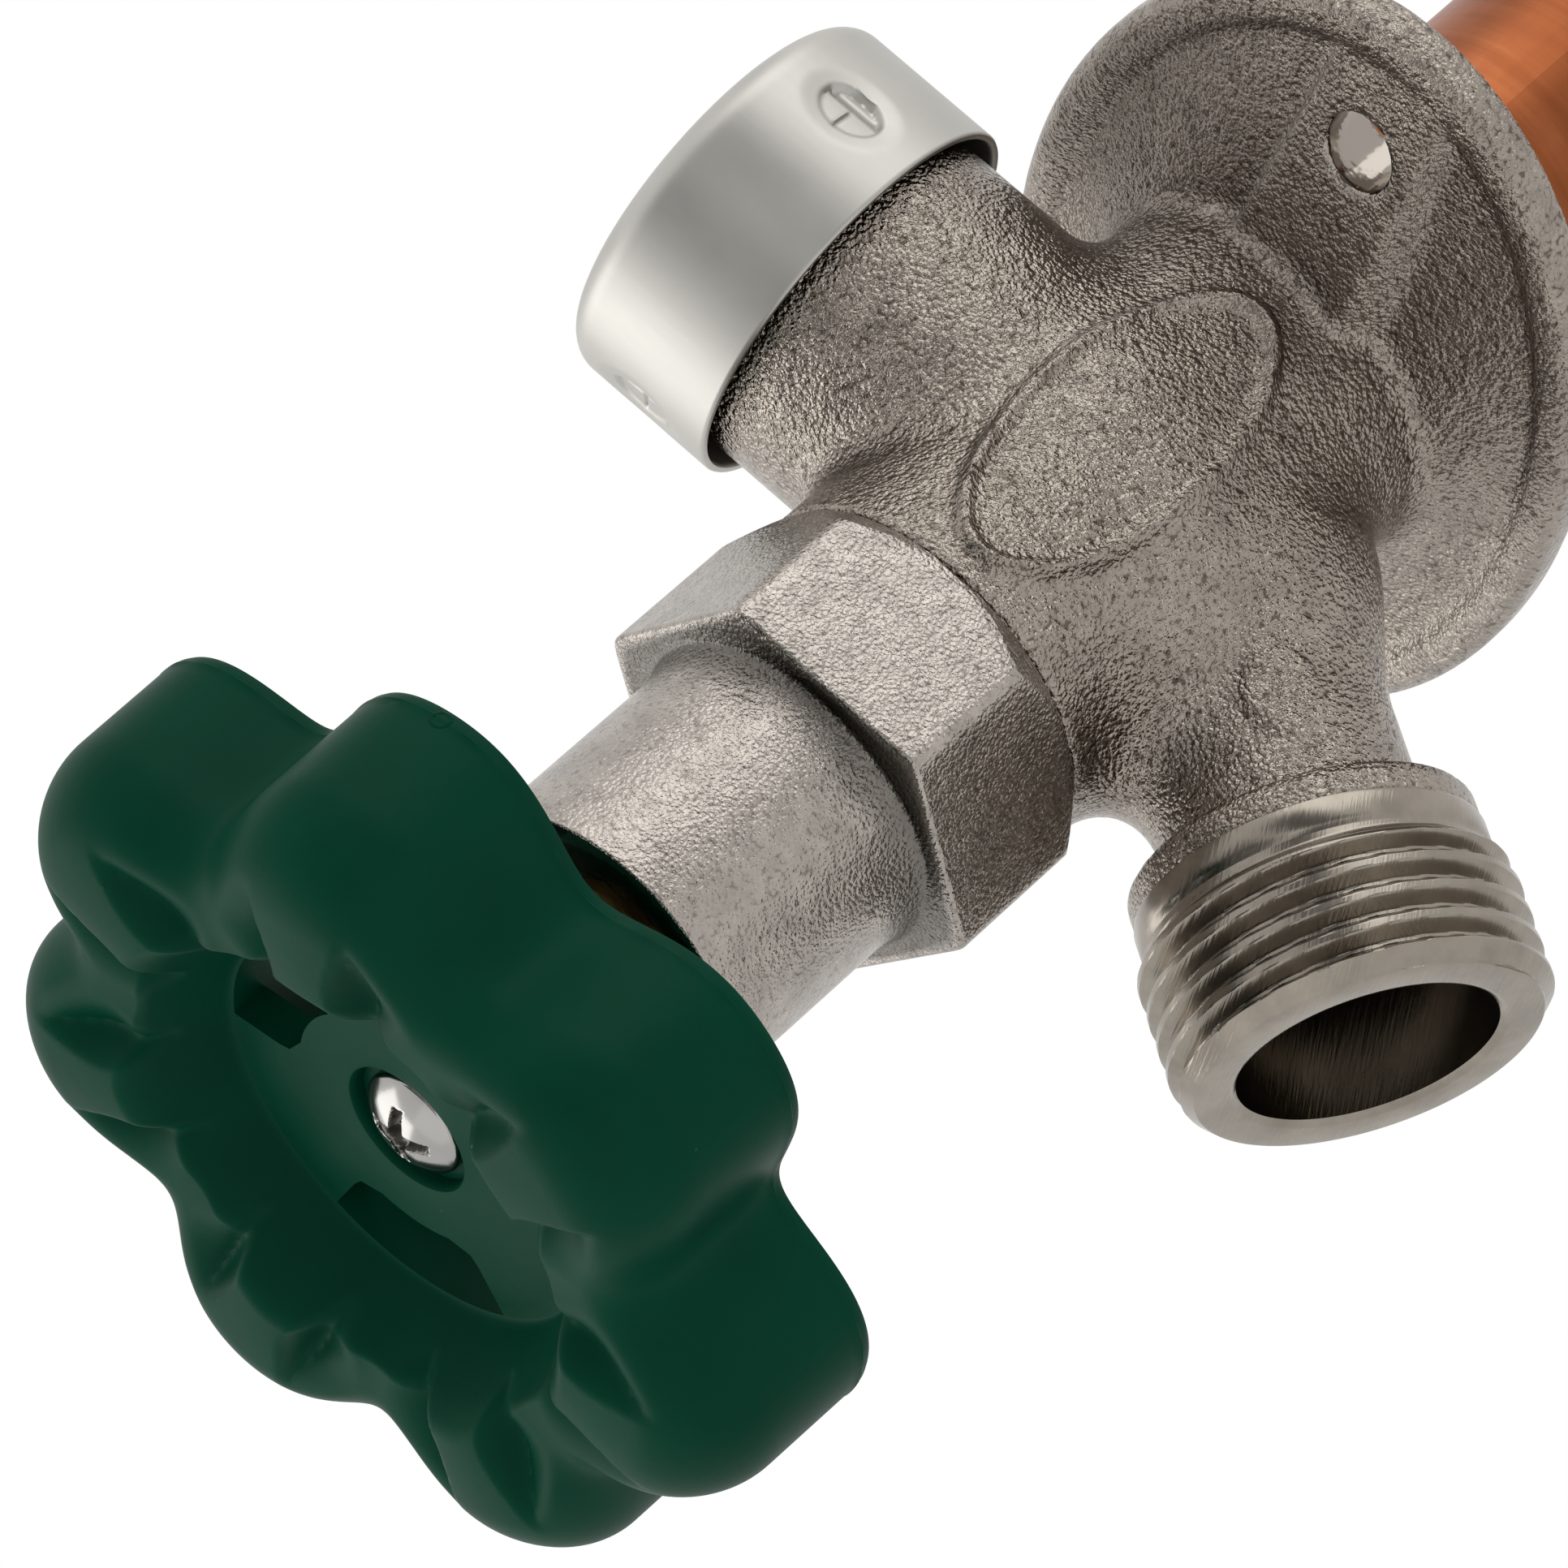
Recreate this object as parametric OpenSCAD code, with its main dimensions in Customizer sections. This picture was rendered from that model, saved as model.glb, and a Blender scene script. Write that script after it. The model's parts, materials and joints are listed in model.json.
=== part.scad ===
// Frost free wall tap. A cast body stands on a wall flange, and its valve seat is at the far end of a
// copper tube, inside the warm wall. Turning the handle draws a long rod and its washer off that seat.
// All sizes are millimetres. The wall is the plane y = 0, the handle is towards -y and +z is up.
// A station is a distance in front of the wall, measured along the main axis.

/* [Wall flange] */
// Width of the oval flange
flange_width = 74; // [68:1:90]
// Height of the oval flange
flange_height = 47; // [44:1:60]
// Thickness of the flange at its raised lip
lip_thickness = 3.4; // [2.8:0.1:5]
// Width of the raised lip
lip_width = 3; // [2:0.1:4]
// Thickness of the sunken floor beside the lip
floor_thickness = 2; // [1.5:0.1:2.6]
// Thickness of the floor where it rises to the barrel
root_thickness = 5.4; // [4:0.1:7]
// Width of each raised screw ear
ear_width = 9.4; // [8:0.2:12]
// Thickness of each screw ear where it meets the barrel
ear_root_thickness = 7.6; // [6:0.1:9]
// Distance between the two screw holes
screw_spacing = 53.5; // [48:0.5:58]
// Diameter of the screw holes
screw_hole_d = 5.8; // [4.5:0.1:6.5]

/* [Barrel] */
// Diameter of the barrel
barrel_d = 28.4; // [27.6:0.1:30]
// Station of the barrel's front end, where the bonnet nut seats
barrel_length = 42.6; // [41:0.2:48]
// Diameter of the waterway through the barrel
waterway_d = 17; // [15:0.2:18]
// Diameter of the threaded spigot inside the bonnet nut
spigot_d = 24; // [22:0.1:25]
// Length of the threaded spigot
spigot_length = 9.4; // [7.6:0.1:10.1]
// Depth of the socket that holds the copper tube
tube_socket_depth = 10; // [8:0.5:12]
// Length of the raised oval pad on the barrel's side
badge_length = 30.6; // [20:0.2:34]
// Height of the raised oval pad
badge_height = 14.8; // [10:0.2:18]
// How far the pad's rim stands out of the barrel
badge_rise = 0.9; // [0.5:0.1:1.5]
// How far the pad's field lies below its rim
badge_sink = 0.4; // [0.2:0.1:0.5]
// Width of the pad's rim
badge_rim = 1.2; // [0.8:0.1:2]
// Station of the pad's centre
badge_station = 25.7; // [22:0.1:28]

/* [Hose outlet] */
// Station where the outlet's axis leaves the main axis
outlet_station = 16; // [14:0.5:20]
// Angle of the outlet forward of straight down
outlet_angle = 32.2; // [20:0.2:40]
// Distance from the main axis to the outlet's end face
outlet_length = 47.7; // [44:0.1:60]
// Diameter of the outlet's neck
outlet_neck_d = 18.4; // [17:0.1:20]
// Diameter of the flare where the neck leaves the barrel
outlet_root_d = 25; // [22:0.5:27]
// How far that flare starts inside the barrel
flare_overlap = 2.3; // [1.5:0.1:4]
// How far that flare runs out of the barrel
flare_length = 9.2; // [6:0.1:12]
// Diameter over the crests of the hose thread
hose_thread_d = 26.8; // [26:0.1:27.2]
// Pitch of the hose thread
hose_thread_pitch = 2.209; // [1.8:0.001:2.4]
// Depth of the hose thread
hose_thread_depth = 1.1; // [0.8:0.05:1.4]
// Number of crests on the hose thread
hose_thread_crests = 5; // [4:1:6]
// Length of the plain collar behind the hose thread
collar_length = 2.6; // [1.5:0.1:4]
// Diameter of the turned mouth inside the thread
mouth_d = 18.54; // [16:0.1:19.5]
// Depth of the turned mouth
mouth_depth = 11; // [8:0.5:12]
// Diameter of the water passage in the neck
passage_d = 12.6; // [10:0.2:14]

/* [Vent] */
// Station of the vent's upright axis
vent_station = 23; // [22:0.2:27]
// Diameter of the vent's neck
vent_neck_d = 27.1; // [26.5:0.1:27.6]
// Height of the neck's top above the main axis
vent_neck_top = 31.9; // [31:0.1:36]
// Diameter of the port between the waterway and the float chamber
vent_port_d = 10; // [8:0.2:12]
// Diameter of the float chamber
vent_chamber_d = 21; // [20:0.1:22]
// Height of the float chamber's floor above the main axis
vent_chamber_floor = 17; // [16:0.1:18]
// Diameter of the pressed cap
cap_d = 30.4; // [29.8:0.1:32]
// Height of the pressed cap
cap_height = 13.5; // [12:0.1:16]
// Thickness of the cap's sheet
cap_wall = 0.6; // [0.5:0.05:0.8]
// Radius of the cap's rounded top edge
cap_edge_r = 2.2; // [1.5:0.1:4]
// Number of dimples that hold the cap
dimple_count = 3; // [3:1:4]
// Diameter of each dimple
dimple_d = 5; // [4:0.1:6]
// Depth of each dimple
dimple_depth = 0.8; // [0.6:0.05:0.85]
// Angle of the first dimple from the right side
dimple_angle = 10; // [0:1:40]
// Diameter of the vent bonnet's flange, under which the dimples catch
vent_flange_d = 28.4; // [28.2:0.1:28.6]
// Thickness of the vent bonnet's flange
vent_flange_thickness = 1.5; // [1.2:0.1:2.5]
// Height of the vent bonnet's crown above its flange
vent_crown_height = 2.8; // [2:0.1:4]
// Outer diameter of the vent bonnet's crown
vent_crown_d = 18; // [16:0.2:20]
// Diameter of the air hole in the vent bonnet
vent_hole_d = 9.2; // [8:0.1:10]
// Section of the vent bonnet's rubber ring
vent_seal_section = 1.78; // [1.5:0.01:2]
// How far the air seat stands below the vent bonnet
vent_seat_rise = 0.8; // [0.5:0.1:1.2]
// Width of the air seat
vent_seat_width = 1.4; // [1:0.1:1.6]
// Width of each air slot through the crown
vent_slot_width = 5; // [3:0.2:7]
// Diameter of the float
float_d = 17.2; // [16:0.1:18]
// Thickness of the float
float_thickness = 3; // [2.5:0.1:3.5]
// Diameter of the button that holds the float's seal
float_button_d = 6.4; // [5:0.1:7]
// Height of that button above the seal
float_button_height = 0.8; // [0.5:0.1:1.2]
// Diameter of the post between that button and the float
float_post_d = 3.2; // [2.6:0.1:4]
// Number of guide tabs round the float
float_tabs = 3; // [3:1:6]
// Width of each guide tab
float_tab_width = 3; // [2:0.1:4]
// Diameter of the float's rubber seal
float_seal_d = 15; // [14:0.1:16]
// Thickness of the float's rubber seal
float_seal_thickness = 1.5; // [1:0.1:2]
// Travel of the float from its rest to the air seat
float_lift = 2.2; // [1:0.1:2.4]

/* [Bonnet nut] */
// Width of the hexagon across its flats
nut_af = 28.2; // [27.6:0.1:32]
// Length of the hexagon
nut_hex_length = 13.3; // [12.4:0.1:15.6]
// Size of the turned chamfer on the hexagon's back corners
nut_chamfer = 2; // [0.5:0.1:2.1]
// Diameter of the snout
snout_d = 23.6; // [22:0.1:26]
// Length of the snout
snout_length = 18.75; // [18:0.05:24]
// Radius of the snout's front edge
snout_edge = 0.8; // [0.4:0.1:1.2]
// Thickness of the fibre gasket
gasket_thickness = 1.5; // [1:0.1:1.8]
// Thickness of the thrust washer
thrust_washer_thickness = 1; // [0.8:0.1:1.5]
// Section of the two stem seals
stem_seal_section = 1.78; // [1.5:0.01:2]
// Width left at the ends of each seal's groove
seal_groove_play = 0.2; // [0.1:0.05:0.4]
// Wall between the seal grooves and at both ends of them
seal_land = 0.9; // [0.7:0.05:1.2]

/* [Stem and rod] */
// Diameter of the stem's smooth journal
stem_d = 10; // [9:0.1:10.5]
// Diameter over the stem's thread
stem_thread_d = 13.2; // [12.6:0.1:14]
// Depth of the stem's thread
stem_thread_depth = 0.9; // [0.6:0.05:1.2]
// Length of the stem's thread
stem_thread_length = 14; // [12:0.5:16]
// Advance of the stem in one turn
stem_thread_lead = 3; // [2:0.1:4]
// Turns of the handle from shut to open
stem_turns = 2; // [1:0.25:2.5]
// Length of the smooth journal in front of the thread
stem_journal_length = 21; // [20:0.5:26]
// Width of the square that drives the handle
stem_square = 6.8; // [6:0.1:7]
// Length of that square
stem_square_length = 7.8; // [6:0.1:8.5]
// Length of the tail that holds the rod
stem_tail_length = 11; // [9:0.5:14]
// Diameter of the tail that holds the rod
stem_tail_d = 10.4; // [9.6:0.1:11]
// Diameter of the operating rod
rod_d = 6.4; // [5.5:0.1:7]
// Depth of the rod in the stem's tail
rod_socket_depth = 8; // [6:0.5:8.5]
// Diameter of the pin that locks the rod in the tail
rod_pin_d = 2; // [1.5:0.1:2.5]

/* [Handle] */
// Diameter over the handle's lobes
handle_d = 65.8; // [58:0.2:72]
// Diameter at the valleys between the lobes
handle_valley_d = 52.6; // [51:0.2:56]
// Extra radius half way up the lobes' flanks, which makes the lobes fuller
lobe_fullness = 1; // [0:0.1:2]
// Number of lobes
handle_lobes = 7; // [5:1:9]
// Angle of the first lobe from the right side
handle_lobe_angle = 69.3; // [0:0.1:90]
// Depth of the handle's rim
handle_depth = 16; // [13:0.2:20]
// Radius of the rim's rounded front edge
handle_edge_r = 5; // [3:0.2:6]
// Thickness of the rim's outer wall
handle_wall = 3; // [2:0.1:4]
// Diameter of the rim's front crest, where the dish begins
handle_crest_d = 39.6; // [38:0.2:50]
// Diameter of the flat web at the bottom of the dish
web_d = 31.4; // [30.8:0.2:34]
// Thickness of the web
web_thickness = 3; // [2.4:0.1:4]
// Distance from the web's face back to the rim's rear edge
rim_setback = 8.6; // [6:0.1:10]
// Length of the hub
hub_length = 11.6; // [11:0.1:14]
// Length of the hub's collar round the stem, behind the seat on the stem's shoulder
hub_collar = 5; // [1:0.1:5.6]
// Diameter of the hub
hub_d = 17; // [14:0.2:18]
// Number of windows through the web
window_count = 3; // [2:1:4]
// Angle that each window spans
window_span = 59; // [30:1:70]
// Angle of the first window's centre from the right side
window_angle = 76.5; // [0:0.5:120]
// Inner radius of the windows
window_inner_r = 9.4; // [9:0.1:11]
// Outer radius of the windows
window_outer_r = 15.4; // [12:0.1:15.4]
// Thickness of the skirt behind the web, round the windows
window_skirt = 2.6; // [1.6:0.1:3]
// Diameter of the recess that holds the screw's head
recess_d = 9.9; // [8.6:0.1:11]
// Depth of that recess
recess_depth = 1.3; // [1:0.1:2.6]
// Diameter of the screw's head
screw_head_d = 8.2; // [7:0.1:8.4]
// Height of the screw's domed head
screw_head_height = 2.4; // [1.5:0.1:2.8]
// Diameter of the screw's shank
screw_shank_d = 4; // [3:0.1:4.4]
// Length of the screw's shank
screw_shank_length = 11; // [8:0.5:14]
// Width of the cross slots in the screw's head
cross_width = 1.2; // [0.8:0.1:1.6]
// Length of the cross slots
cross_length = 4.8; // [3.6:0.1:5.6]
// Depth of the cross slots
cross_depth = 1.2; // [0.8:0.1:1.4]

/* [Copper tube and inlet] */
// Outer diameter of the copper tube
tube_d = 22.2; // [21:0.1:22.6]
// Wall of the copper tube
tube_wall = 1.1; // [0.8:0.05:1.3]
// Distance from the wall face back to the inlet's end
inlet_depth = 152.4; // [100:0.2:360]
// Diameter over the inlet's pipe thread
pipe_thread_d = 21.3; // [20.5:0.1:22]
// Pitch of the pipe thread
pipe_thread_pitch = 1.814; // [1.5:0.001:2]
// Depth of the pipe thread
pipe_thread_depth = 0.9; // [0.6:0.05:1.2]
// Number of crests on the pipe thread
pipe_thread_crests = 8; // [7:1:10]
// Width of the inlet's hexagon across its flats
inlet_af = 27; // [26.4:0.1:32]
// Length of the inlet's hexagon
inlet_hex_length = 9; // [7:0.5:12]
// Diameter of the socket for a soldered supply pipe
sweat_d = 15.94; // [14:0.01:16.2]
// Depth of the socket for a soldered supply pipe
sweat_depth = 12.7; // [11:0.1:14]
// Wall of the sleeve around the copper tube
sleeve_wall = 2.2; // [1.6:0.1:3]
// Length of the sleeve in front of the hexagon
sleeve_length = 24; // [22:0.5:30]
// Depth of the copper tube in the sleeve
sleeve_socket_depth = 10; // [8:0.5:12]
// Diameter of the hole through the valve seat
seat_d = 10; // [8:0.1:11]
// Width of the valve seat's flat crown
seat_width = 1.6; // [1:0.1:1.8]
// Height of the valve seat above the fitting's floor
seat_height = 3; // [2:0.1:4]
// Size of the solder fillets at both ends of the copper tube
solder_size = 1.3; // [0.8:0.1:1.5]

/* [Plunger] */
// Diameter of the rubber seat washer
washer_d = 14.6; // [13.8:0.1:15]
// Thickness of the rubber seat washer
washer_thickness = 4; // [3:0.1:5]
// Wall of the cup around the washer
cup_wall = 1.2; // [0.8:0.1:1.4]
// How far the washer stands out of its cup
washer_stand = 1.5; // [1:0.1:2]
// Thickness of the plunger's disc
plunger_disc = 6; // [5.5:0.1:8]
// Diameter of the plunger's hub
plunger_hub_d = 11; // [10:0.1:12]
// Length of the plunger's hub
plunger_hub_length = 12; // [10:0.5:16]
// Number of guide fins on the plunger
fin_count = 4; // [3:1:6]
// Thickness of each guide fin
fin_thickness = 2.2; // [1.6:0.1:3]
// Distance from the hub's front end to the snap ring's groove
ring_inset = 4; // [3:0.1:5]
// Thickness of the snap ring
ring_thickness = 1; // [0.8:0.05:1.2]
// How far the snap ring's groove cuts into the rod
ring_bite = 0.8; // [0.6:0.05:1]
// Angle left open in the snap ring
ring_opening = 40; // [20:5:90]
// Diameter of the washer screw's head
washer_screw_head_d = 6.8; // [6:0.1:7.2]
// Height of the washer screw's head
washer_screw_head_height = 2; // [1.5:0.1:2.5]
// Diameter of the washer screw's shank
washer_screw_d = 4; // [3:0.1:4.4]
// Length of the washer screw's shank
washer_screw_length = 9; // [8:0.1:9.4]

/* [Fits] */
// Radial clearance of a shaft that turns or slides in its hole
running_clearance = 0.05; // [0.02:0.01:0.1]
// Radial clearance of threads, sockets and pressed seats
seat_clearance = 0.05; // [0.02:0.01:0.1]
// Gap left between a shut seal and its seat
seal_gap = 0.05; // [0.02:0.01:0.1]
// Radial clearance of the plunger's guide fins, the snap ring's groove and the float's guide tabs
guide_clearance = 0.08; // [0.05:0.01:0.1]

/* [Threads] */
// Flat top of a thread's crest as a share of the pitch
crest_share = 0.3; // [0.2:0.05:0.5]

/* [Hidden] */
$fn = 72;
// A cut runs this far past the face that it opens
past = 0.5;
// Points round an oval and along a rounded edge
oval_points = 72;
edge_points = 8;
lobe_points = 20;

barrel_r = barrel_d / 2;
tube_r = tube_d / 2;
tube_bore_r = tube_r - tube_wall;
tube_hole_r = tube_r + seat_clearance;
vent_neck_r = vent_neck_d / 2;
vent_chamber_r = vent_chamber_d / 2;
stem_r = stem_d / 2;
rod_r = rod_d / 2;

// Stations of the bonnet nut and of what it holds
spigot_front = barrel_length + spigot_length;
gasket_front = spigot_front + gasket_thickness;
hex_front = barrel_length + nut_hex_length;
nut_front = hex_front + snout_length;
seal_groove = stem_seal_section + seal_groove_play;
front_groove = nut_front - seal_land - seal_groove;
rear_groove = front_groove - seal_land - seal_groove;
thrust_front = rear_groove - seal_land;
thrust_back = thrust_front - thrust_washer_thickness;
stem_bore_r = stem_r + running_clearance;
stem_thread_bore_r = stem_thread_d / 2 + seat_clearance;
seal_r = stem_r + running_clearance + stem_seal_section / 2;
seal_groove_r = seal_r + stem_seal_section / 2 + seat_clearance;

// Stations along the stem with the valve shut
stem_travel = stem_thread_lead * stem_turns;
thread_front = thrust_back - seal_gap - stem_travel;
thread_back = thread_front - stem_thread_length;
tail_back = thread_back - stem_tail_length;
stem_shoulder = thread_front + stem_journal_length;
square_front = stem_shoulder + stem_square_length;
rod_front = tail_back + rod_socket_depth - seal_gap;
pin_station = tail_back + rod_socket_depth / 2;

// Stations along the handle
web_front = stem_shoulder + hub_length;
web_back = web_front - web_thickness;
rim_back = web_front - rim_setback;
rim_front = rim_back + handle_depth;
recess_floor = web_front - recess_depth;
window_width = window_outer_r - window_inner_r;
skirt_outer_r = window_outer_r + window_skirt;
skirt_inner_r = window_outer_r - window_skirt / 4;
screw_hole_r = screw_shank_d / 2 + seat_clearance;
lobe_mid = (handle_d + handle_valley_d) / 4;
lobe_rise = (handle_d - handle_valley_d) / 4;

// Stations of the inlet, which are negative because it lies behind the wall
inlet_end = -inlet_depth;
pipe_crest_r = pipe_thread_d / 2;
pipe_thread_length = pipe_thread_pitch * pipe_thread_crests;
inlet_hex_back = inlet_end + pipe_thread_length;
inlet_hex_front = inlet_hex_back + inlet_hex_length;
sleeve_front = inlet_hex_front + sleeve_length;
tube_back = sleeve_front - sleeve_socket_depth;
sleeve_r = tube_hole_r + sleeve_wall;
seat_station = inlet_hex_front + seat_height;

// Stations of the plunger with the valve shut
washer_back = seat_station + seal_gap;
washer_front = washer_back + washer_thickness;
disc_front = washer_front + plunger_disc;
hub_front = disc_front + plunger_hub_length;
washer_r = washer_d / 2;
washer_hole_r = washer_screw_d / 2 + seat_clearance;
cup_r = washer_r + seat_clearance + cup_wall;
fin_r = tube_bore_r - guide_clearance;
fin_root_r = (rod_r + plunger_hub_d / 2) / 2;
rod_back = disc_front + seal_gap;
ring_front = hub_front - ring_inset;
ring_back = ring_front - ring_thickness;
ring_inner_r = rod_r - ring_bite + seat_clearance;
ring_outer_r = rod_r + ring_bite;

// Heights inside the vent, above the main axis
float_bottom = vent_chamber_floor + seal_gap;
float_top = float_bottom + float_thickness;
float_seal_top = float_top + float_seal_thickness;
vent_seat_bottom = float_seal_top + float_lift + seal_gap;
vent_plug_bottom = vent_seat_bottom + vent_seat_rise;
vent_flange_top = vent_neck_top + vent_flange_thickness;
vent_crown_top = vent_flange_top + vent_crown_height;
vent_plug_r = vent_chamber_r - seat_clearance;
vent_seal_groove = vent_seal_section + seal_groove_play;
vent_seal_low = (vent_plug_bottom + vent_neck_top - vent_seal_groove) / 2;
vent_seal_r = vent_chamber_r - running_clearance - vent_seal_section / 2;
vent_groove_r = vent_seal_r - vent_seal_section / 2 - seat_clearance;
cap_r = cap_d / 2;
cap_top = vent_crown_top + cap_wall;
cap_rim = cap_top - cap_height;
dimple_level = vent_neck_top - dimple_d / 2;
dimple_ball_r = (pow(dimple_d / 2, 2) + pow(dimple_depth, 2)) / (2 * dimple_depth);
float_guide_r = vent_chamber_r - guide_clearance;

// Distances along the outlet, from the main axis
hose_thread_back = outlet_length - hose_thread_pitch * hose_thread_crests;
collar_back = hose_thread_back - collar_length;
hose_crest_r = hose_thread_d / 2;
hose_root_r = hose_crest_r - hose_thread_depth;
outlet_neck_r = outlet_neck_d / 2;
flare_start = barrel_r - flare_overlap;

// Points of an oval of the given width and height, about the origin
function oval(width, height) = [
    for (i = [0 : oval_points - 1])
        let (t = 360 * i / oval_points)
        [width / 2 * cos(t), height / 2 * sin(t)]
];

// Points of the handle's lobed outline, drawn in by the given wall
function lobed(wall) = [
    for (i = [0 : handle_lobes * lobe_points - 1])
        let (t = 360 * i / (handle_lobes * lobe_points))
        let (lobe_t = handle_lobes * (t - handle_lobe_angle))
        let (r = lobe_mid - wall + lobe_rise * cos(lobe_t) + lobe_fullness / 2 * (1 - cos(2 * lobe_t)))
        [r * cos(t), r * sin(t)]
];

// Points of a thread's side: crests of radius r, cut to the given depth, one pitch apart from start
function thread_side(r, depth, pitch, crests, start) =
    let (flank = (1 - crest_share) / 2)
    [
        for (i = [0 : crests - 1])
            for (p = [[0, depth], [flank, 0], [flank + crest_share, 0]])
                [r - p[1], start + (i + p[0]) * pitch],
        [r - depth, start + crests * pitch]
    ];

// Points of a quarter round of radius edge, from the side at radius r up to the top
function round_edge(r, top, edge) = [
    for (i = [0 : edge_points])
        let (t = 90 * i / edge_points)
        [r - edge + edge * cos(t), top - edge + edge * sin(t)]
];

// Stands children on the main axis, with their height as the station
module on_axis() {
    rotate([90, 0, 0])
        children();
}

// Stands children on the vent's upright axis
module on_vent() {
    translate([0, -vent_station, 0])
        children();
}

// Stands children on the outlet's axis, with their height as the distance from the main axis
module on_outlet() {
    translate([0, -outlet_station, 0])
        rotate([180 - outlet_angle, 0, 0])
            children();
}

// A turned bar from one station to another
module bar(r, from, to) {
    translate([0, 0, from])
        cylinder(r = r, h = to - from);
}

// A turned ring from one station to another
module ring(outer_r, inner_r, from, to) {
    difference() {
        bar(outer_r, from, to);
        bar(inner_r, from - past, to + past);
    }
}

// A hexagon from one station to another, with a corner upwards
module hexagon(across_flats, from, to) {
    translate([0, 0, from])
        rotate([0, 0, 30])
            cylinder(r = across_flats / 2 / cos(30), h = to - from, $fn = 6);
}

// A round rubber ring at the given height
module seal_ring(centre_r, section, level) {
    translate([0, 0, level])
        rotate_extrude()
            translate([centre_r, 0])
                circle(d = section);
}

module flange_solid() {
    difference() {
        linear_extrude(lip_thickness)
            polygon(oval(flange_width, flange_height));
        translate([0, 0, floor_thickness])
            linear_extrude(lip_thickness)
                polygon(oval(flange_width - 2 * lip_width, flange_height - 2 * lip_width));
    }
    root_r = flange_height / 2 - lip_width;
    rotate_extrude()
        polygon([
            [0, 0], [root_r, 0], [root_r, floor_thickness], [barrel_r, root_thickness],
            [0, root_thickness]
        ]);
    ear_end = flange_width / 2 - lip_width;
    rotate([90, 0, 0])
        linear_extrude(ear_width, center = true)
            polygon([
                [-ear_end, 0], [ear_end, 0], [ear_end, lip_thickness], [barrel_r, ear_root_thickness],
                [-barrel_r, ear_root_thickness], [-ear_end, lip_thickness]
            ]);
}

// The part of an oval on the barrel's right side that stands out by the given rise
module side_oval(length, height, rise) {
    intersection() {
        bar(barrel_r + rise, 0, barrel_length);
        translate([0, 0, badge_station])
            rotate([0, 90, 0])
                linear_extrude(barrel_d)
                    polygon(oval(length, height));
    }
}

module badge_solid() {
    side_oval(badge_length, badge_height, badge_rise - badge_sink);
    difference() {
        side_oval(badge_length, badge_height, badge_rise);
        translate([0, 0, badge_station])
            rotate([0, 90, 0])
                linear_extrude(barrel_d + past)
                    polygon(oval(badge_length - 2 * badge_rim, badge_height - 2 * badge_rim));
    }
}

module outlet_solid() {
    shoulder = hose_root_r - outlet_neck_r;
    rotate_extrude()
        polygon(concat(
            [[0, 0], [outlet_neck_r, 0], [outlet_neck_r, collar_back - shoulder]],
            [[hose_root_r, collar_back]],
            thread_side(
                hose_crest_r, hose_thread_depth, hose_thread_pitch, hose_thread_crests, hose_thread_back
            ),
            [[0, outlet_length]]
        ));
    translate([0, 0, flare_start])
        cylinder(d1 = outlet_root_d, r2 = outlet_neck_r, h = flare_overlap + flare_length);
}

module valve_body() {
    color("#9a938a")
        difference() {
            union() {
                on_axis() {
                    flange_solid();
                    bar(barrel_r, 0, barrel_length);
                    bar(spigot_d / 2, 0, spigot_front);
                    badge_solid();
                }
                on_vent()
                    bar(vent_neck_r, 0, vent_neck_top);
                on_outlet()
                    outlet_solid();
            }
            on_axis() {
                bar(waterway_d / 2, -past, spigot_front + past);
                bar(tube_hole_r, -past, tube_socket_depth);
                rotate_extrude()
                    polygon([
                        [0, 0], [tube_hole_r + solder_size, 0], [tube_hole_r, solder_size],
                        [0, solder_size]
                    ]);
                for (side = [-1, 1])
                    translate([side * screw_spacing / 2, 0, 0])
                        bar(screw_hole_d / 2, -past, ear_root_thickness);
            }
            on_vent() {
                bar(vent_port_d / 2, 0, vent_chamber_floor + past);
                bar(vent_chamber_r, vent_chamber_floor, vent_neck_top + past);
            }
            on_outlet() {
                bar(passage_d / 2, 0, outlet_length);
                bar(mouth_d / 2, outlet_length - mouth_depth, outlet_length + past);
            }
        }
}

module bonnet_nut() {
    corner_r = nut_af / 2 / cos(30);
    color("#a49d94")
        on_axis()
            difference() {
                union() {
                    intersection() {
                        hexagon(nut_af, barrel_length, hex_front);
                        rotate_extrude()
                            polygon([
                                [0, barrel_length], [corner_r - nut_chamfer, barrel_length],
                                [corner_r, barrel_length + nut_chamfer], [corner_r, hex_front],
                                [0, hex_front]
                            ]);
                    }
                    rotate_extrude()
                        polygon(concat(
                            [[0, hex_front - nut_chamfer], [snout_d / 2, hex_front - nut_chamfer]],
                            round_edge(snout_d / 2, nut_front, snout_edge),
                            [[0, nut_front]]
                        ));
                }
                bar(spigot_d / 2 + seat_clearance, barrel_length - past, gasket_front);
                bar(stem_thread_bore_r, barrel_length, thrust_front);
                bar(stem_bore_r, barrel_length, nut_front + past);
                for (groove = [front_groove, rear_groove])
                    bar(seal_groove_r, groove, groove + seal_groove);
            }
}

module bonnet_gasket() {
    color("#5d4a3a")
        on_axis()
            ring(spigot_d / 2, waterway_d / 2, spigot_front, gasket_front);
}

module thrust_washer() {
    color("#e8e6df")
        on_axis()
            ring(stem_thread_bore_r - seat_clearance, stem_bore_r, thrust_back, thrust_front);
}

module stem_seals() {
    color("#222222")
        on_axis()
            for (groove = [front_groove, rear_groove])
                seal_ring(seal_r, stem_seal_section, groove + seal_groove / 2);
}

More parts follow.
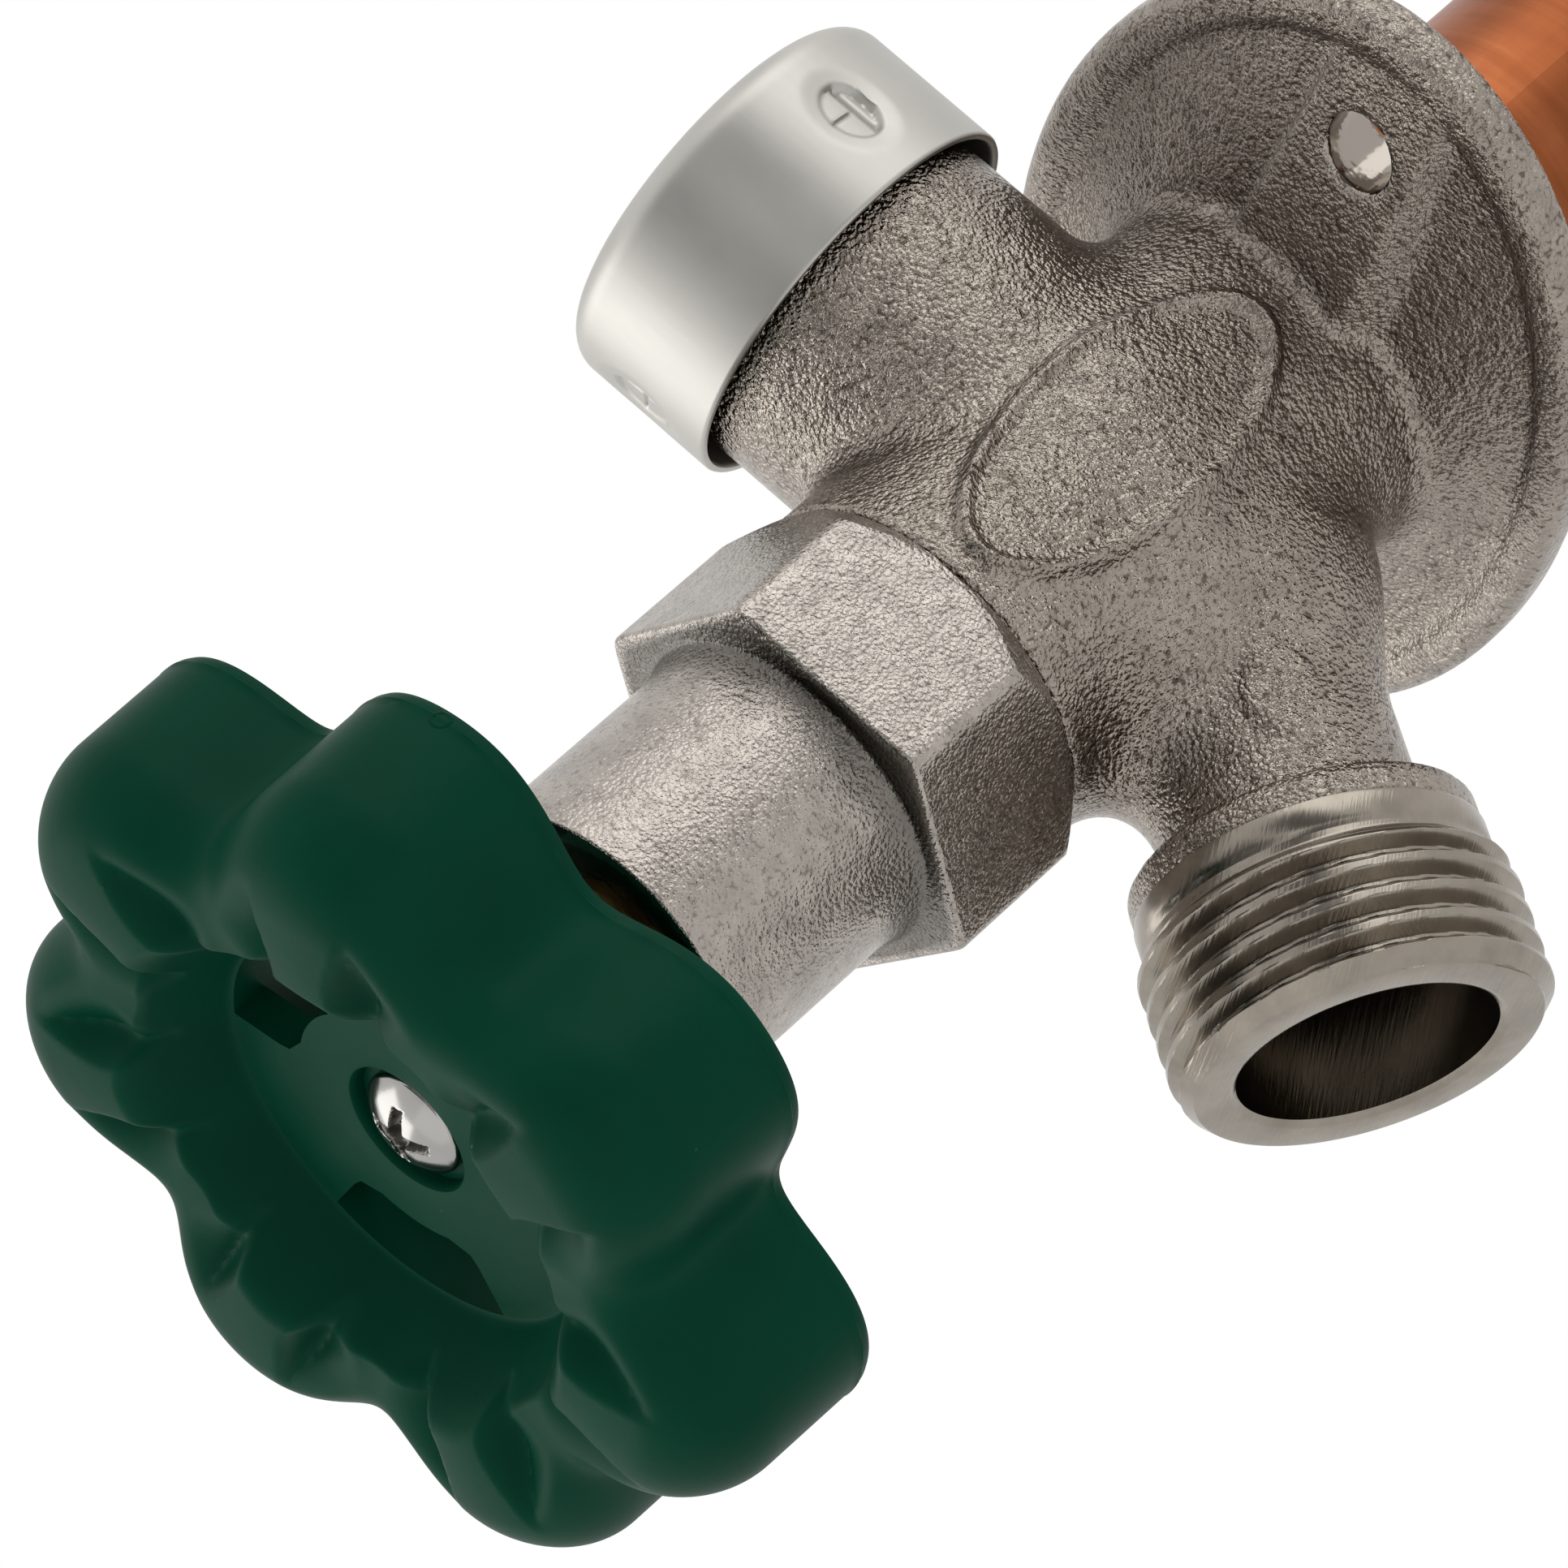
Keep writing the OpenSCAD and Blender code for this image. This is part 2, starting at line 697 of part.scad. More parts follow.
module stem() {
    crests = floor(stem_thread_length / stem_thread_lead);
    thread_r = stem_thread_d / 2;
    color("#c9a557")
        on_axis()
            difference() {
                union() {
                    bar(stem_tail_d / 2, tail_back, thread_front);
                    rotate_extrude()
                        polygon(concat(
                            [[0, thread_back]],
                            thread_side(
                                thread_r, stem_thread_depth, stem_thread_length / crests, crests,
                                thread_back
                            ),
                            [[0, thread_front]]
                        ));
                    bar(stem_r, thread_back, stem_shoulder);
                    translate([-stem_square / 2, -stem_square / 2, thread_front])
                        cube([stem_square, stem_square, square_front - thread_front]);
                }
                bar(rod_r + seat_clearance, tail_back - past, tail_back + rod_socket_depth);
                bar(screw_hole_r, recess_floor - screw_shank_length - past, square_front + past);
                translate([0, 0, pin_station])
                    rotate([0, 90, 0])
                        cylinder(r = rod_pin_d / 2 + seat_clearance, h = 2 * stem_tail_d, center = true);
            }
}

module rod_pin() {
    color("#b8b8b8")
        on_axis()
            translate([0, 0, pin_station])
                rotate([0, 90, 0])
                    cylinder(d = rod_pin_d, h = stem_tail_d, center = true);
}

module operating_rod() {
    color("#c7a45c")
        on_axis()
            difference() {
                bar(rod_r, rod_back, rod_front);
                translate([0, 0, pin_station])
                    rotate([0, 90, 0])
                        cylinder(r = rod_pin_d / 2 + seat_clearance, h = 2 * rod_d, center = true);
                ring(rod_d, rod_r - ring_bite, ring_back - seal_gap, ring_front + seal_gap);
            }
}

module snap_ring() {
    color("#b8b8b8")
        on_axis()
            translate([0, 0, ring_back])
                rotate_extrude(angle = 360 - ring_opening)
                    translate([ring_inner_r, 0])
                        square([ring_outer_r - ring_inner_r, ring_thickness]);
}

module plunger() {
    color("#c9a557")
        on_axis()
            difference() {
                union() {
                    bar(cup_r, washer_back + washer_stand, disc_front);
                    bar(plunger_hub_d / 2, disc_front, hub_front);
                    for (i = [0 : fin_count - 1])
                        rotate([0, 0, 360 * i / fin_count])
                            intersection() {
                                bar(fin_r, washer_front, hub_front);
                                translate([fin_root_r, -fin_thickness / 2, washer_front])
                                    cube([tube_d, fin_thickness, hub_front - washer_front]);
                            }
                }
                bar(washer_r + seat_clearance, washer_back, washer_front);
                bar(rod_r + running_clearance, disc_front, hub_front + past);
                bar(
                    ring_outer_r + guide_clearance, ring_back - guide_clearance,
                    ring_front + guide_clearance
                );
                bar(washer_hole_r, washer_front - past, washer_back + washer_screw_length + past);
            }
}

module seat_washer() {
    color("#1f1f1f")
        on_axis()
            ring(washer_r, washer_hole_r, washer_back, washer_front);
}

module washer_screw() {
    color("#c9a557")
        on_axis() {
            bar(washer_screw_head_d / 2, washer_back - washer_screw_head_height, washer_back);
            bar(washer_screw_d / 2, washer_back, washer_back + washer_screw_length);
        }
}

module inlet_tube() {
    color("#a5562f")
        on_axis()
            ring(tube_r, tube_bore_r, tube_back, tube_socket_depth);
}

module inlet_fitting() {
    color("#c2a060")
        on_axis()
            difference() {
                union() {
                    rotate_extrude()
                        polygon(concat(
                            [[0, inlet_end]],
                            thread_side(
                                pipe_crest_r, pipe_thread_depth, pipe_thread_pitch, pipe_thread_crests,
                                inlet_end
                            ),
                            [[pipe_crest_r - pipe_thread_depth, inlet_hex_front], [0, inlet_hex_front]]
                        ));
                    hexagon(inlet_af, inlet_hex_back, inlet_hex_front);
                    bar(sleeve_r, inlet_hex_back, sleeve_front);
                }
                bar(sweat_d / 2, inlet_end - past, inlet_end + sweat_depth);
                bar(seat_d / 2, inlet_end, seat_station + past);
                ring(tube_bore_r, seat_d / 2 + seat_width, inlet_hex_front, seat_station);
                bar(tube_bore_r, seat_station, sleeve_front);
                bar(tube_hole_r, tube_back, sleeve_front + past);
            }
}

// A three sided fillet of solder around the tube, from the corner at the given station
module solder_fillet(station, size) {
    rotate_extrude()
        polygon([[tube_hole_r, station], [tube_hole_r + size, station], [tube_hole_r, station + size]]);
}

module front_solder() {
    color("#b9b6ae")
        on_axis()
            solder_fillet(0, solder_size);
}

module rear_solder() {
    color("#b9b6ae")
        on_axis()
            solder_fillet(sleeve_front, solder_size);
}

module handle() {
    rim_r = handle_d / 2;
    color("#1d5138")
        on_axis()
            difference() {
                union() {
                    difference() {
                        intersection() {
                            translate([0, 0, rim_back])
                                linear_extrude(handle_depth)
                                    polygon(lobed(0));
                            rotate_extrude()
                                polygon(concat(
                                    [[0, rim_back], [rim_r, rim_back]],
                                    round_edge(rim_r, rim_front, handle_edge_r),
                                    [[0, rim_front]]
                                ));
                        }
                        rotate_extrude()
                            polygon([
                                [0, web_front], [web_d / 2, web_front], [handle_crest_d / 2, rim_front],
                                [handle_crest_d / 2, rim_front + past], [0, rim_front + past]
                            ]);
                        difference() {
                            translate([0, 0, rim_back - past])
                                linear_extrude(web_back - rim_back + past)
                                    polygon(lobed(handle_wall));
                            ring(skirt_outer_r, skirt_inner_r, rim_back - 2 * past, web_back + past);
                        }
                        for (i = [0 : window_count - 1])
                            rotate([0, 0, window_angle - window_span / 2 + 360 * i / window_count])
                                translate([0, 0, rim_back - past])
                                    rotate_extrude(angle = window_span)
                                        translate([window_inner_r, 0])
                                            square([window_width, rim_setback + 2 * past]);
                    }
                    bar(hub_d / 2, stem_shoulder - hub_collar, web_front);
                }
                socket = stem_square + 2 * seat_clearance;
                translate([-socket / 2, -socket / 2, stem_shoulder - past])
                    cube([socket, socket, stem_square_length + past + seal_gap]);
                bar(stem_bore_r, stem_shoulder - hub_collar - past, stem_shoulder);
                bar(screw_hole_r, stem_shoulder, web_front);
                bar(recess_d / 2, recess_floor, web_front + past);
            }
}

module handle_screw() {
    head_r = screw_head_d / 2;
    dome_edge = screw_head_height / 2;
    dome_r = (pow(head_r, 2) + pow(dome_edge, 2)) / (2 * dome_edge);
    head_top = recess_floor + screw_head_height;
    color("#c9c9c9")
        on_axis() {
            difference() {
                intersection() {
                    bar(head_r, recess_floor, head_top);
                    translate([0, 0, head_top - dome_r])
                        sphere(r = dome_r);
                }
                for (turn = [0, 90])
                    rotate([0, 0, turn])
                        translate([-cross_length / 2, -cross_width / 2, head_top - cross_depth])
                            cube([cross_length, cross_width, cross_depth + past]);
            }
            bar(screw_shank_d / 2, recess_floor - screw_shank_length, recess_floor);
        }
}

module vent_cap() {
    inner_r = cap_r - cap_wall;
    color("#b9b9b4")
        on_vent()
            difference() {
                union() {
                    rotate_extrude()
                        polygon(concat(
                            [[inner_r, cap_rim], [cap_r, cap_rim]],
                            round_edge(cap_r, cap_top, cap_edge_r),
                            [[0, cap_top], [0, vent_crown_top]],
                            [[inner_r - cap_edge_r + cap_wall, vent_crown_top]],
                            [[inner_r, cap_top - cap_edge_r]]
                        ));
                    intersection() {
                        bar(cap_r - cap_wall / 2, cap_rim, cap_top - cap_edge_r);
                        dimples(dimple_ball_r + cap_wall);
                    }
                }
                dimples(dimple_ball_r);
            }
}

// The balls that press the cap's dimples in from outside
module dimples(ball_r) {
    for (i = [0 : dimple_count - 1])
        rotate([0, 0, dimple_angle + 360 * i / dimple_count])
            translate([cap_r - dimple_depth + dimple_ball_r, 0, dimple_level])
                sphere(r = ball_r);
}

module vent_bonnet() {
    color("#c2a060")
        on_vent()
            difference() {
                union() {
                    bar(vent_plug_r, vent_plug_bottom, vent_neck_top);
                    bar(vent_hole_d / 2 + vent_seat_width, vent_seat_bottom, vent_plug_bottom);
                    bar(vent_flange_d / 2, vent_neck_top, vent_flange_top);
                    bar(vent_crown_d / 2, vent_flange_top, vent_crown_top);
                }
                bar(vent_hole_d / 2, vent_seat_bottom - past, vent_crown_top + past);
                ring(vent_chamber_d, vent_groove_r, vent_seal_low, vent_seal_low + vent_seal_groove);
                for (turn = [0, 90])
                    rotate([0, 0, turn])
                        translate([-vent_crown_d, -vent_slot_width / 2, vent_flange_top])
                            cube([2 * vent_crown_d, vent_slot_width, vent_crown_height + past]);
            }
}

module vent_seal() {
    color("#222222")
        on_vent()
            seal_ring(vent_seal_r, vent_seal_section, vent_seal_low + vent_seal_groove / 2);
}

module vent_float() {
    color("#d8d3c4")
        on_vent() {
            bar(float_d / 2, float_bottom, float_top);
            for (i = [0 : float_tabs - 1])
                rotate([0, 0, 360 * i / float_tabs])
                    intersection() {
                        bar(float_guide_r, float_bottom, float_top);
                        translate([0, -float_tab_width / 2, float_bottom])
                            cube([vent_chamber_d, float_tab_width, float_thickness]);
                    }
            bar(float_post_d / 2, float_top, float_seal_top);
            bar(float_button_d / 2, float_seal_top, float_seal_top + float_button_height);
        }
}

module float_seal() {
    color("#222222")
        on_vent()
            ring(float_seal_d / 2, float_post_d / 2 + seat_clearance, float_top, float_seal_top);
}

valve_body();
bonnet_nut();
bonnet_gasket();
thrust_washer();
stem_seals();
stem();
rod_pin();
operating_rod();
snap_ring();
plunger();
seat_washer();
washer_screw();
inlet_tube();
inlet_fitting();
front_solder();
rear_solder();
handle();
handle_screw();
vent_cap();
vent_bonnet();
vent_seal();
vent_float();
float_seal();
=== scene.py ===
# %% [markdown]
# A frost free wall tap, dressed for a studio picture.
# The tap's solids come packed as a frame of named nodes on moving bodies. This lesson keeps that frame as it
# is and lays finished surfaces over it: a sand cast body, a turned hose end, a bonnet nut, a moulded handle,
# a pressed cap and their finishes. Every length below is in millimetres until it goes into a mesh.

# %% Load the frame
import json
import bmesh
import bpy
import numpy as np
from mathutils import Matrix


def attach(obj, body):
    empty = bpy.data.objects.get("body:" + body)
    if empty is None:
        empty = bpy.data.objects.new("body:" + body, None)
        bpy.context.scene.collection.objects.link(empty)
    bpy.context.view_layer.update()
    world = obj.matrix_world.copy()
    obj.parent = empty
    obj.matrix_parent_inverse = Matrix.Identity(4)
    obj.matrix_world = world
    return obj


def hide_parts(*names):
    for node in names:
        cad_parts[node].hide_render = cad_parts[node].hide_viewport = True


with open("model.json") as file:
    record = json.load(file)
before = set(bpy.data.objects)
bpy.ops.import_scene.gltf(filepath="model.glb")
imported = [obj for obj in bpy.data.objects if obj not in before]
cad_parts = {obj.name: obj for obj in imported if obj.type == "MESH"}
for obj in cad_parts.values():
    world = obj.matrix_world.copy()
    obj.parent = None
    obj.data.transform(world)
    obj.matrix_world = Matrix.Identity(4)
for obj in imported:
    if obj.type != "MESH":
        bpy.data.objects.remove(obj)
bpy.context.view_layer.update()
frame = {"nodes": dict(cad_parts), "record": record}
MM = 0.001
TAU = 2 * np.pi

# %% [markdown]
# The tap is built round three straight axes. The main axis runs out of the wall towards the handle, and a
# station is a distance along it from the wall, so y is minus the station. The vent stands upright on that
# axis and the hose outlet leans forward from it. Three small functions place a radius, an angle and a
# distance round each of them, and because they take whole arrays, a full surface is placed in one call.

# %% Three axes
VENT_STATION = 23.0
OUTLET_STATION = 16.0
OUTLET_LEAN = np.radians(32.2)
LEAN_SIN = np.sin(OUTLET_LEAN)
LEAN_COS = np.cos(OUTLET_LEAN)


def round_main(radius, angle, station):
    """Points at a radius and an angle round the main axis, the angle counted from +x towards +z."""
    radius, angle, station = np.broadcast_arrays(radius, angle, station)
    return np.stack([radius * np.cos(angle), -station, radius * np.sin(angle)], -1)


def round_vent(radius, angle, height):
    """Points at a radius and an angle round the vent's upright axis, the angle from +x towards +y."""
    radius, angle, height = np.broadcast_arrays(radius, angle, height)
    return np.stack([radius * np.cos(angle), radius * np.sin(angle) - VENT_STATION, height], -1)


def round_outlet(radius, angle, distance):
    """Points at a radius and an angle round the outlet's axis, at a distance from the main axis. The angle
    goes from +x to the side that faces the handle, which is a right handed turn about the way out."""
    radius, angle, distance = np.broadcast_arrays(radius, angle, distance)
    side = radius * np.sin(angle)
    along_y = -OUTLET_STATION - distance * LEAN_SIN - side * LEAN_COS
    return np.stack([radius * np.cos(angle), along_y, side * LEAN_SIN - distance * LEAN_COS], -1)


def turn(count):
    """That many angles, evenly round one turn."""
    return np.linspace(0, TAU, count, endpoint=False)


print("the outlet leaves the main axis at", round_outlet(0.0, 0.0, 0.0), "mm")

# %% [markdown]
# Every new piece is a grid of points. Its rows follow a profile and its columns go round an axis, so the
# quads between neighbours close the surface by themselves. A profile that starts and ends on the axis
# collapses to a pole there, and merging the doubled points turns the last quads into triangles. The sign of
# the enclosed volume says whether the faces look outwards, and the whole list is reversed if they don't.

# %% Grids into meshes
def grid_quads(rows, columns, loop):
    """Corner numbers of the quads of a grid whose columns go all the way round. With loop, the last row
    joins the first one as well."""
    row = np.arange(rows if loop else rows - 1)[:, None]
    column = np.arange(columns)[None, :]
    below = (row + 1) % rows
    beside = (column + 1) % columns
    near, far = row * columns, below * columns
    corners = [near + column, near + beside, far + beside, far + column]
    return np.stack(np.broadcast_arrays(*corners), -1).reshape(-1, 4)


def enclosed_volume(points, quads):
    """The volume inside closed quads: a sixth of the sum of the triple products of their halves."""
    a, b, c, d = (points[quads[:, k]] for k in range(4))
    return (np.einsum("ij,ij->i", a, np.cross(b, c)) + np.einsum("ij,ij->i", a, np.cross(c, d))).sum() / 6


def add_piece(name, points, quads, body, node=None, sharp=35.0):
    """Makes an object of points in millimetres, faces it outwards, rides it on a body and lets it stand for
    a node. Edges that bend by more than the sharp angle stay crisp."""
    if enclosed_volume(points, quads) < 0:
        quads = quads[:, ::-1]
    mesh = bpy.data.meshes.new(name)
    mesh.from_pydata((points * MM).tolist(), [], quads.tolist())
    mesh.validate(clean_customdata=False)
    mesh.polygons.foreach_set("use_smooth", np.ones(len(mesh.polygons), dtype=bool))
    mesh.set_sharp_from_angle(angle=np.radians(sharp))
    mesh.update()
    piece = bpy.data.objects.new(name, mesh)
    bpy.context.scene.collection.objects.link(piece)
    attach(piece, body)
    if node:
        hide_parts(node)
    volume = abs(enclosed_volume(points, quads)) / 1000
    print(name, len(points), "points,", len(quads), "quads,", round(volume, 1), "cm3")
    return piece


def add_grid(name, grid, loop, body, node=None):
    """The piece of a whole grid of points, whose last row joins the first one with loop."""
    return add_piece(name, grid.reshape(-1, 3), grid_quads(*grid.shape[:2], loop), body, node)


def store(piece, name, values):
    """Keeps one number for each point of a mesh, as an attribute that a finish can read."""
    kept = piece.data.attributes.new(name, "FLOAT", "POINT")
    kept.data.foreach_set("value", np.asarray(values, np.float32))
    print(piece.name, "stores", name, "with a mean of", round(float(np.mean(values)), 3))


class Rows:
    """Rows of points round one axis, added one after another."""

    def __init__(self, place, columns):
        self.place = place
        self.angle = turn(columns)[None, :]
        self.rows = []

    def __len__(self):
        return len(self.rows)

    def add(self, radius, distance, angle=None):
        """Adds a row at a radius and a distance along the axis. Both may change on the way round."""
        self.rows.append(self.place(radius, self.angle if angle is None else angle, distance))

    def follow(self, profile):
        """Adds a round row for each radius and distance of a profile."""
        for radius, distance in profile:
            self.add(radius, distance)

    def grid(self):
        """All rows so far as one grid."""
        return np.concatenate(self.rows)


print("a strip of two rows round six columns has", len(grid_quads(2, 6, False)), "quads")

# %% [markdown]
# Shapes flow into each other by three small rules. One rises smoothly between two values, and the others
# take the lesser or the greater of two values and round the corner where they cross.

# %% Soft rules
def smooth_step(value, low, high):
    """Rises from 0 at low to 1 at high with level ends."""
    share = np.clip((value - low) / (high - low), 0, 1)
    return share * share * (3 - 2 * share)


def soft_min(a, b, width):
    """The lesser of two values, with the corner rounded over the given width."""
    mix = np.clip(0.5 + 0.5 * (b - a) / width, 0, 1)
    return b + (a - b) * mix - width * mix * (1 - mix)


def soft_max(a, b, width):
    """The greater of two values, with the corner rounded over the given width."""
    return -soft_min(-a, -b, width)


print("soft lesser of 1 and 1.2:", round(float(soft_min(1.0, 1.2, 0.5)), 3))

# %% [markdown]
# The body is one sand casting: flange, barrel, vent neck and outlet neck flow into each other, and no
# profile or sheet gives all those fillets. So it is described as a field, which says for any point how far
# it lies outside the metal. Fields join with a fillet of a chosen radius, and a drilled hole is a field
# turned round. The surface is where the field is zero.

# %% The casting as a field
BARREL_R = 14.2
BARREL_FRONT = 42.6
FLANGE_HALF = (37.0, 23.5)
LIP = 3.0
LIP_TOP = 3.4
LIP_ROUND = 1.1
EAR_END = 34.6
VENT_NECK_R = 13.54
VENT_NECK_TOP = 31.9
PAD_CENTRE = (25.7, -0.2)
PAD_HALF = (15.3, 7.4)
NECK_R = 9.2
NECK_END = 34.0
SHOULDER_R = 12.35
SHOULDER = (31.7, 34.7)
SPIGOT_R = 12.0
SPIGOT = (38.0, 52.0)


def join(a, b, radius):
    """The union of two fields with a round fillet of that radius in their corner."""
    corner = np.hypot(np.maximum(radius - a, 0), np.maximum(radius - b, 0))
    return np.maximum(radius, np.minimum(a, b)) - corner


def cut(a, b, radius):
    """Field a where it is also inside field b, with the new edge rounded."""
    return -join(-a, -b, radius)


def between(value, low, high):
    """Distance outside the span from low to high."""
    return np.abs(value - (low + high) / 2) - (high - low) / 2


def oval_field(x, z, half_x, half_z):
    """Distance outside an oval, near enough at its edge: the oval's own scale times its share past one."""
    share = np.hypot(x / half_x, z / half_z)
    slope = np.hypot(x / half_x**2, z / half_z**2)
    return share * (share - 1) / np.maximum(slope, 1e-6)


def flange_field(x, s, z):
    """A dished oval plate with a raised round lip and a sloping ear at each screw hole."""
    edge = oval_field(x, z, *FLANGE_HALF)
    radius = np.hypot(x, z)
    out = np.maximum(radius - BARREL_R, 0)
    share = np.clip(out / (out + np.maximum(-edge - LIP, 0) + 1e-6), 0, 1)
    floor = 2.5 + 2.9 * (1 - share) ** 1.25
    plate = cut(cut(edge, s - floor, 0.5), -s, 0.3)
    across = np.abs(edge + LIP / 2) - (LIP / 2 - LIP_ROUND)
    high = np.abs(s - LIP_TOP / 2) - (LIP_TOP / 2 - LIP_ROUND)
    corner = np.hypot(np.maximum(across, 0), np.maximum(high, 0))
    lip = corner + np.minimum(np.maximum(across, high), 0) - LIP_ROUND
    reach = np.clip((np.abs(x) - BARREL_R) / (EAR_END - BARREL_R), 0, 1)
    ear_top = 7.7 - 4.1 * reach - 0.13 * (z + 4.0)
    below = np.maximum(ear_top - s, 0)
    draft = np.where(z < 0.5, 0.85, 0.25) * below
    ear_side = 0.85 * (np.abs(z - 0.5) - (5.1 - 0.7 * reach) - draft)
    ear = cut(cut(cut(ear_side, np.abs(x) - EAR_END, 0.5), s - ear_top, 0.3), -s, 0.3)
    return join(join(plate, lip, 0.9), ear, 0.35)


def outlet_axes(x, s, z):
    """How far a point lies along the outlet, from its axis, and towards the side that faces the handle."""
    along = (s - OUTLET_STATION) * LEAN_SIN - z * LEAN_COS
    side = (s - OUTLET_STATION) * LEAN_COS + z * LEAN_SIN
    return along, np.hypot(x, side), side


def casting_field(x, s, z):
    """The rough casting before any machining: flange, barrel, vent neck, outlet neck and two bare pads."""
    radius = np.hypot(x, z)
    barrel = cut(radius - BARREL_R, between(s, 0.0, BARREL_FRONT), 0.4)
    neck = cut(np.hypot(x, s - VENT_STATION) - VENT_NECK_R, between(z, 0.0, VENT_NECK_TOP), 0.4)
    metal = join(barrel, neck, 2.4)
    metal = join(metal, flange_field(x, s, z), 1.2)
    along, off_axis, side = outlet_axes(x, s, z)
    flare = 2.6 * smooth_step(-along, -24.0, -11.0)
    spout = cut(off_axis - NECK_R - flare, between(along, 0.0, NECK_END), 0.3)
    shoulder = cut(off_axis - SHOULDER_R, between(along, *SHOULDER), 0.8)
    spout = join(spout, shoulder, 1.6)
    metal = join(metal, spout, 2.0 + 4.5 * smooth_step(side, -3.0, 7.0))
    pad = oval_field(s - PAD_CENTRE[0], z - PAD_CENTRE[1], *PAD_HALF)
    rim = 0.9 * np.exp(-(((pad + 0.75) / 0.55) ** 2))
    field = 0.2 * smooth_step(-pad, -0.2, 1.2)
    metal = metal - (rim + field) * smooth_step(x, 3.0, 7.0)
    small_pad = np.hypot((along - 24.2) / 3.3, (side - 1.0) / 2.7)
    metal = metal - 0.32 * smooth_step(-small_pad, -1.12, -0.9) * smooth_step(x, 2.0, 5.0)
    spigot = cut(radius - SPIGOT_R, between(s, *SPIGOT), 0.3)
    return np.minimum(metal, spigot)


print("barrel", 2 * BARREL_R, "mm across, flange", 2 * FLANGE_HALF[0], "by", 2 * FLANGE_HALF[1], "mm")

# %% [markdown]
# After casting, the body is drilled and bored. All that the machining takes away is a second field, and the
# finished body is the casting where that second field isn't. Booleans on meshes could cut the same holes,
# but a field rounds every new edge by itself and never leaves slivers.

# %% The machining as a field
HOLE_X = 26.75
HOLE_R = 2.9
WATERWAY_R = 8.5
SOCKET_R = 11.15
SOCKET_DEPTH = 10.0
SOLDER_DEPTH = 1.3
CHAMBER_R = 10.5
CHAMBER_FLOOR = 17.0
PORT_R = 5.0
PASSAGE_R = 6.3


def bored_field(x, s, z):
    """What the machining takes away: waterway, tube socket, float chamber, outlet passage, screw holes."""
    radius = np.hypot(x, z)
    water = np.minimum(radius - WATERWAY_R, cut(radius - SOCKET_R, s - SOCKET_DEPTH, 0.0))
    solder = np.maximum(radius + s - SOCKET_R - SOLDER_DEPTH, s - SOLDER_DEPTH)
    vent = np.hypot(x, s - VENT_STATION)
    chamber = np.maximum(vent - CHAMBER_R, CHAMBER_FLOOR - z)
    port = np.maximum(vent - PORT_R, -z)
    along, off_axis, _ = outlet_axes(x, s, z)
    passage = np.maximum(off_axis - PASSAGE_R, -along)
    holes = np.hypot(np.abs(x) - HOLE_X, z) - HOLE_R
    away = np.minimum(np.minimum(water, solder), np.minimum(chamber, port))
    return np.minimum(np.minimum(away, passage), holes)


def body_field(x, s, z):
    """The casting less its machining, with machined edges rounded by a third of a millimetre."""
    return cut(casting_field(x, s, z), -bored_field(x, s, z), 0.35)


barrel_side = body_field(np.array(BARREL_R), np.array(38.0), np.array(0.0))
print("field at the barrel's side", round(float(barrel_side), 2))

# %% [markdown]
# To mesh a field, sample it on a box of small cells. A cell whose corners disagree in sign holds one point
# of the surface, at the mean of the crossings on its edges, and each grid edge that changes sign joins the
# four cells around it with a quad. All of it is done on whole arrays. Two steps along the slope then pull
# every point exactly on to the zero level, which removes the stair steps.

# %% A net over the zero level
CELL = 0.5
NET_LOW = (-38.0, -0.8, -37.0)
NET_HIGH = (38.0, 53.0, 33.0)


def net(field, low, high, cell):
    """Points and quads of a field's zero level inside a box, by the rule of one point per crossed cell."""
    axes = [np.arange(l, h + cell, cell) for l, h in zip(low, high)]
    values = field(*np.meshgrid(*axes, indexing="ij", sparse=True))
    inside = values < 0
    shape = np.array(values.shape) - 1
    corner = np.array([[i, j, k] for i in (0, 1) for j in (0, 1) for k in (0, 1)])
    count = np.zeros(shape, np.int8)
    for i, j, k in corner:
        count += inside[i : i + shape[0], j : j + shape[1], k : k + shape[2]]
    cells = np.argwhere((count > 0) & (count < 8))
    number = np.full(shape, -1)
    number[tuple(cells.T)] = np.arange(len(cells))
    at = np.stack([values[tuple((cells + c).T)] for c in corner], 1)
    total = np.zeros((len(cells), 3))
    hits = np.zeros((len(cells), 1))
    ends = [(a, b) for a in range(8) for b in range(a + 1, 8) if np.abs(corner[a] - corner[b]).sum() == 1]
    for a, b in ends:
        crossed = (at[:, a] < 0) != (at[:, b] < 0)
        share = at[:, a] / np.where(crossed, at[:, a] - at[:, b], 1)
        total += np.where(crossed[:, None], corner[a] + share[:, None] * (corner[b] - corner[a]), 0)
        hits += crossed[:, None]
    points = np.array(low) + (cells + total / hits) * cell
    quads = []
    for axis in range(3):
        one, two = [k for k in range(3) if k != axis]
        ahead = np.take(inside, range(1, inside.shape[axis]), axis)
        change = np.argwhere(np.take(inside, range(shape[axis]), axis) != ahead)
        keep = (change[:, one] > 0) & (change[:, two] > 0)
        keep &= (change[:, one] < shape[one]) & (change[:, two] < shape[two])
        change = change[keep]
        step_one, step_two = np.eye(3, dtype=int)[[one, two]]
        around = [change - step_one - step_two, change - step_two, change, change - step_one]
        ring = np.stack([number[tuple(c.T)] for c in around], 1)
        leaves = inside[tuple(change.T)] != (axis == 1)
        quads.append(np.where(leaves[:, None], ring, ring[:, ::-1]))
    return points, np.concatenate(quads)


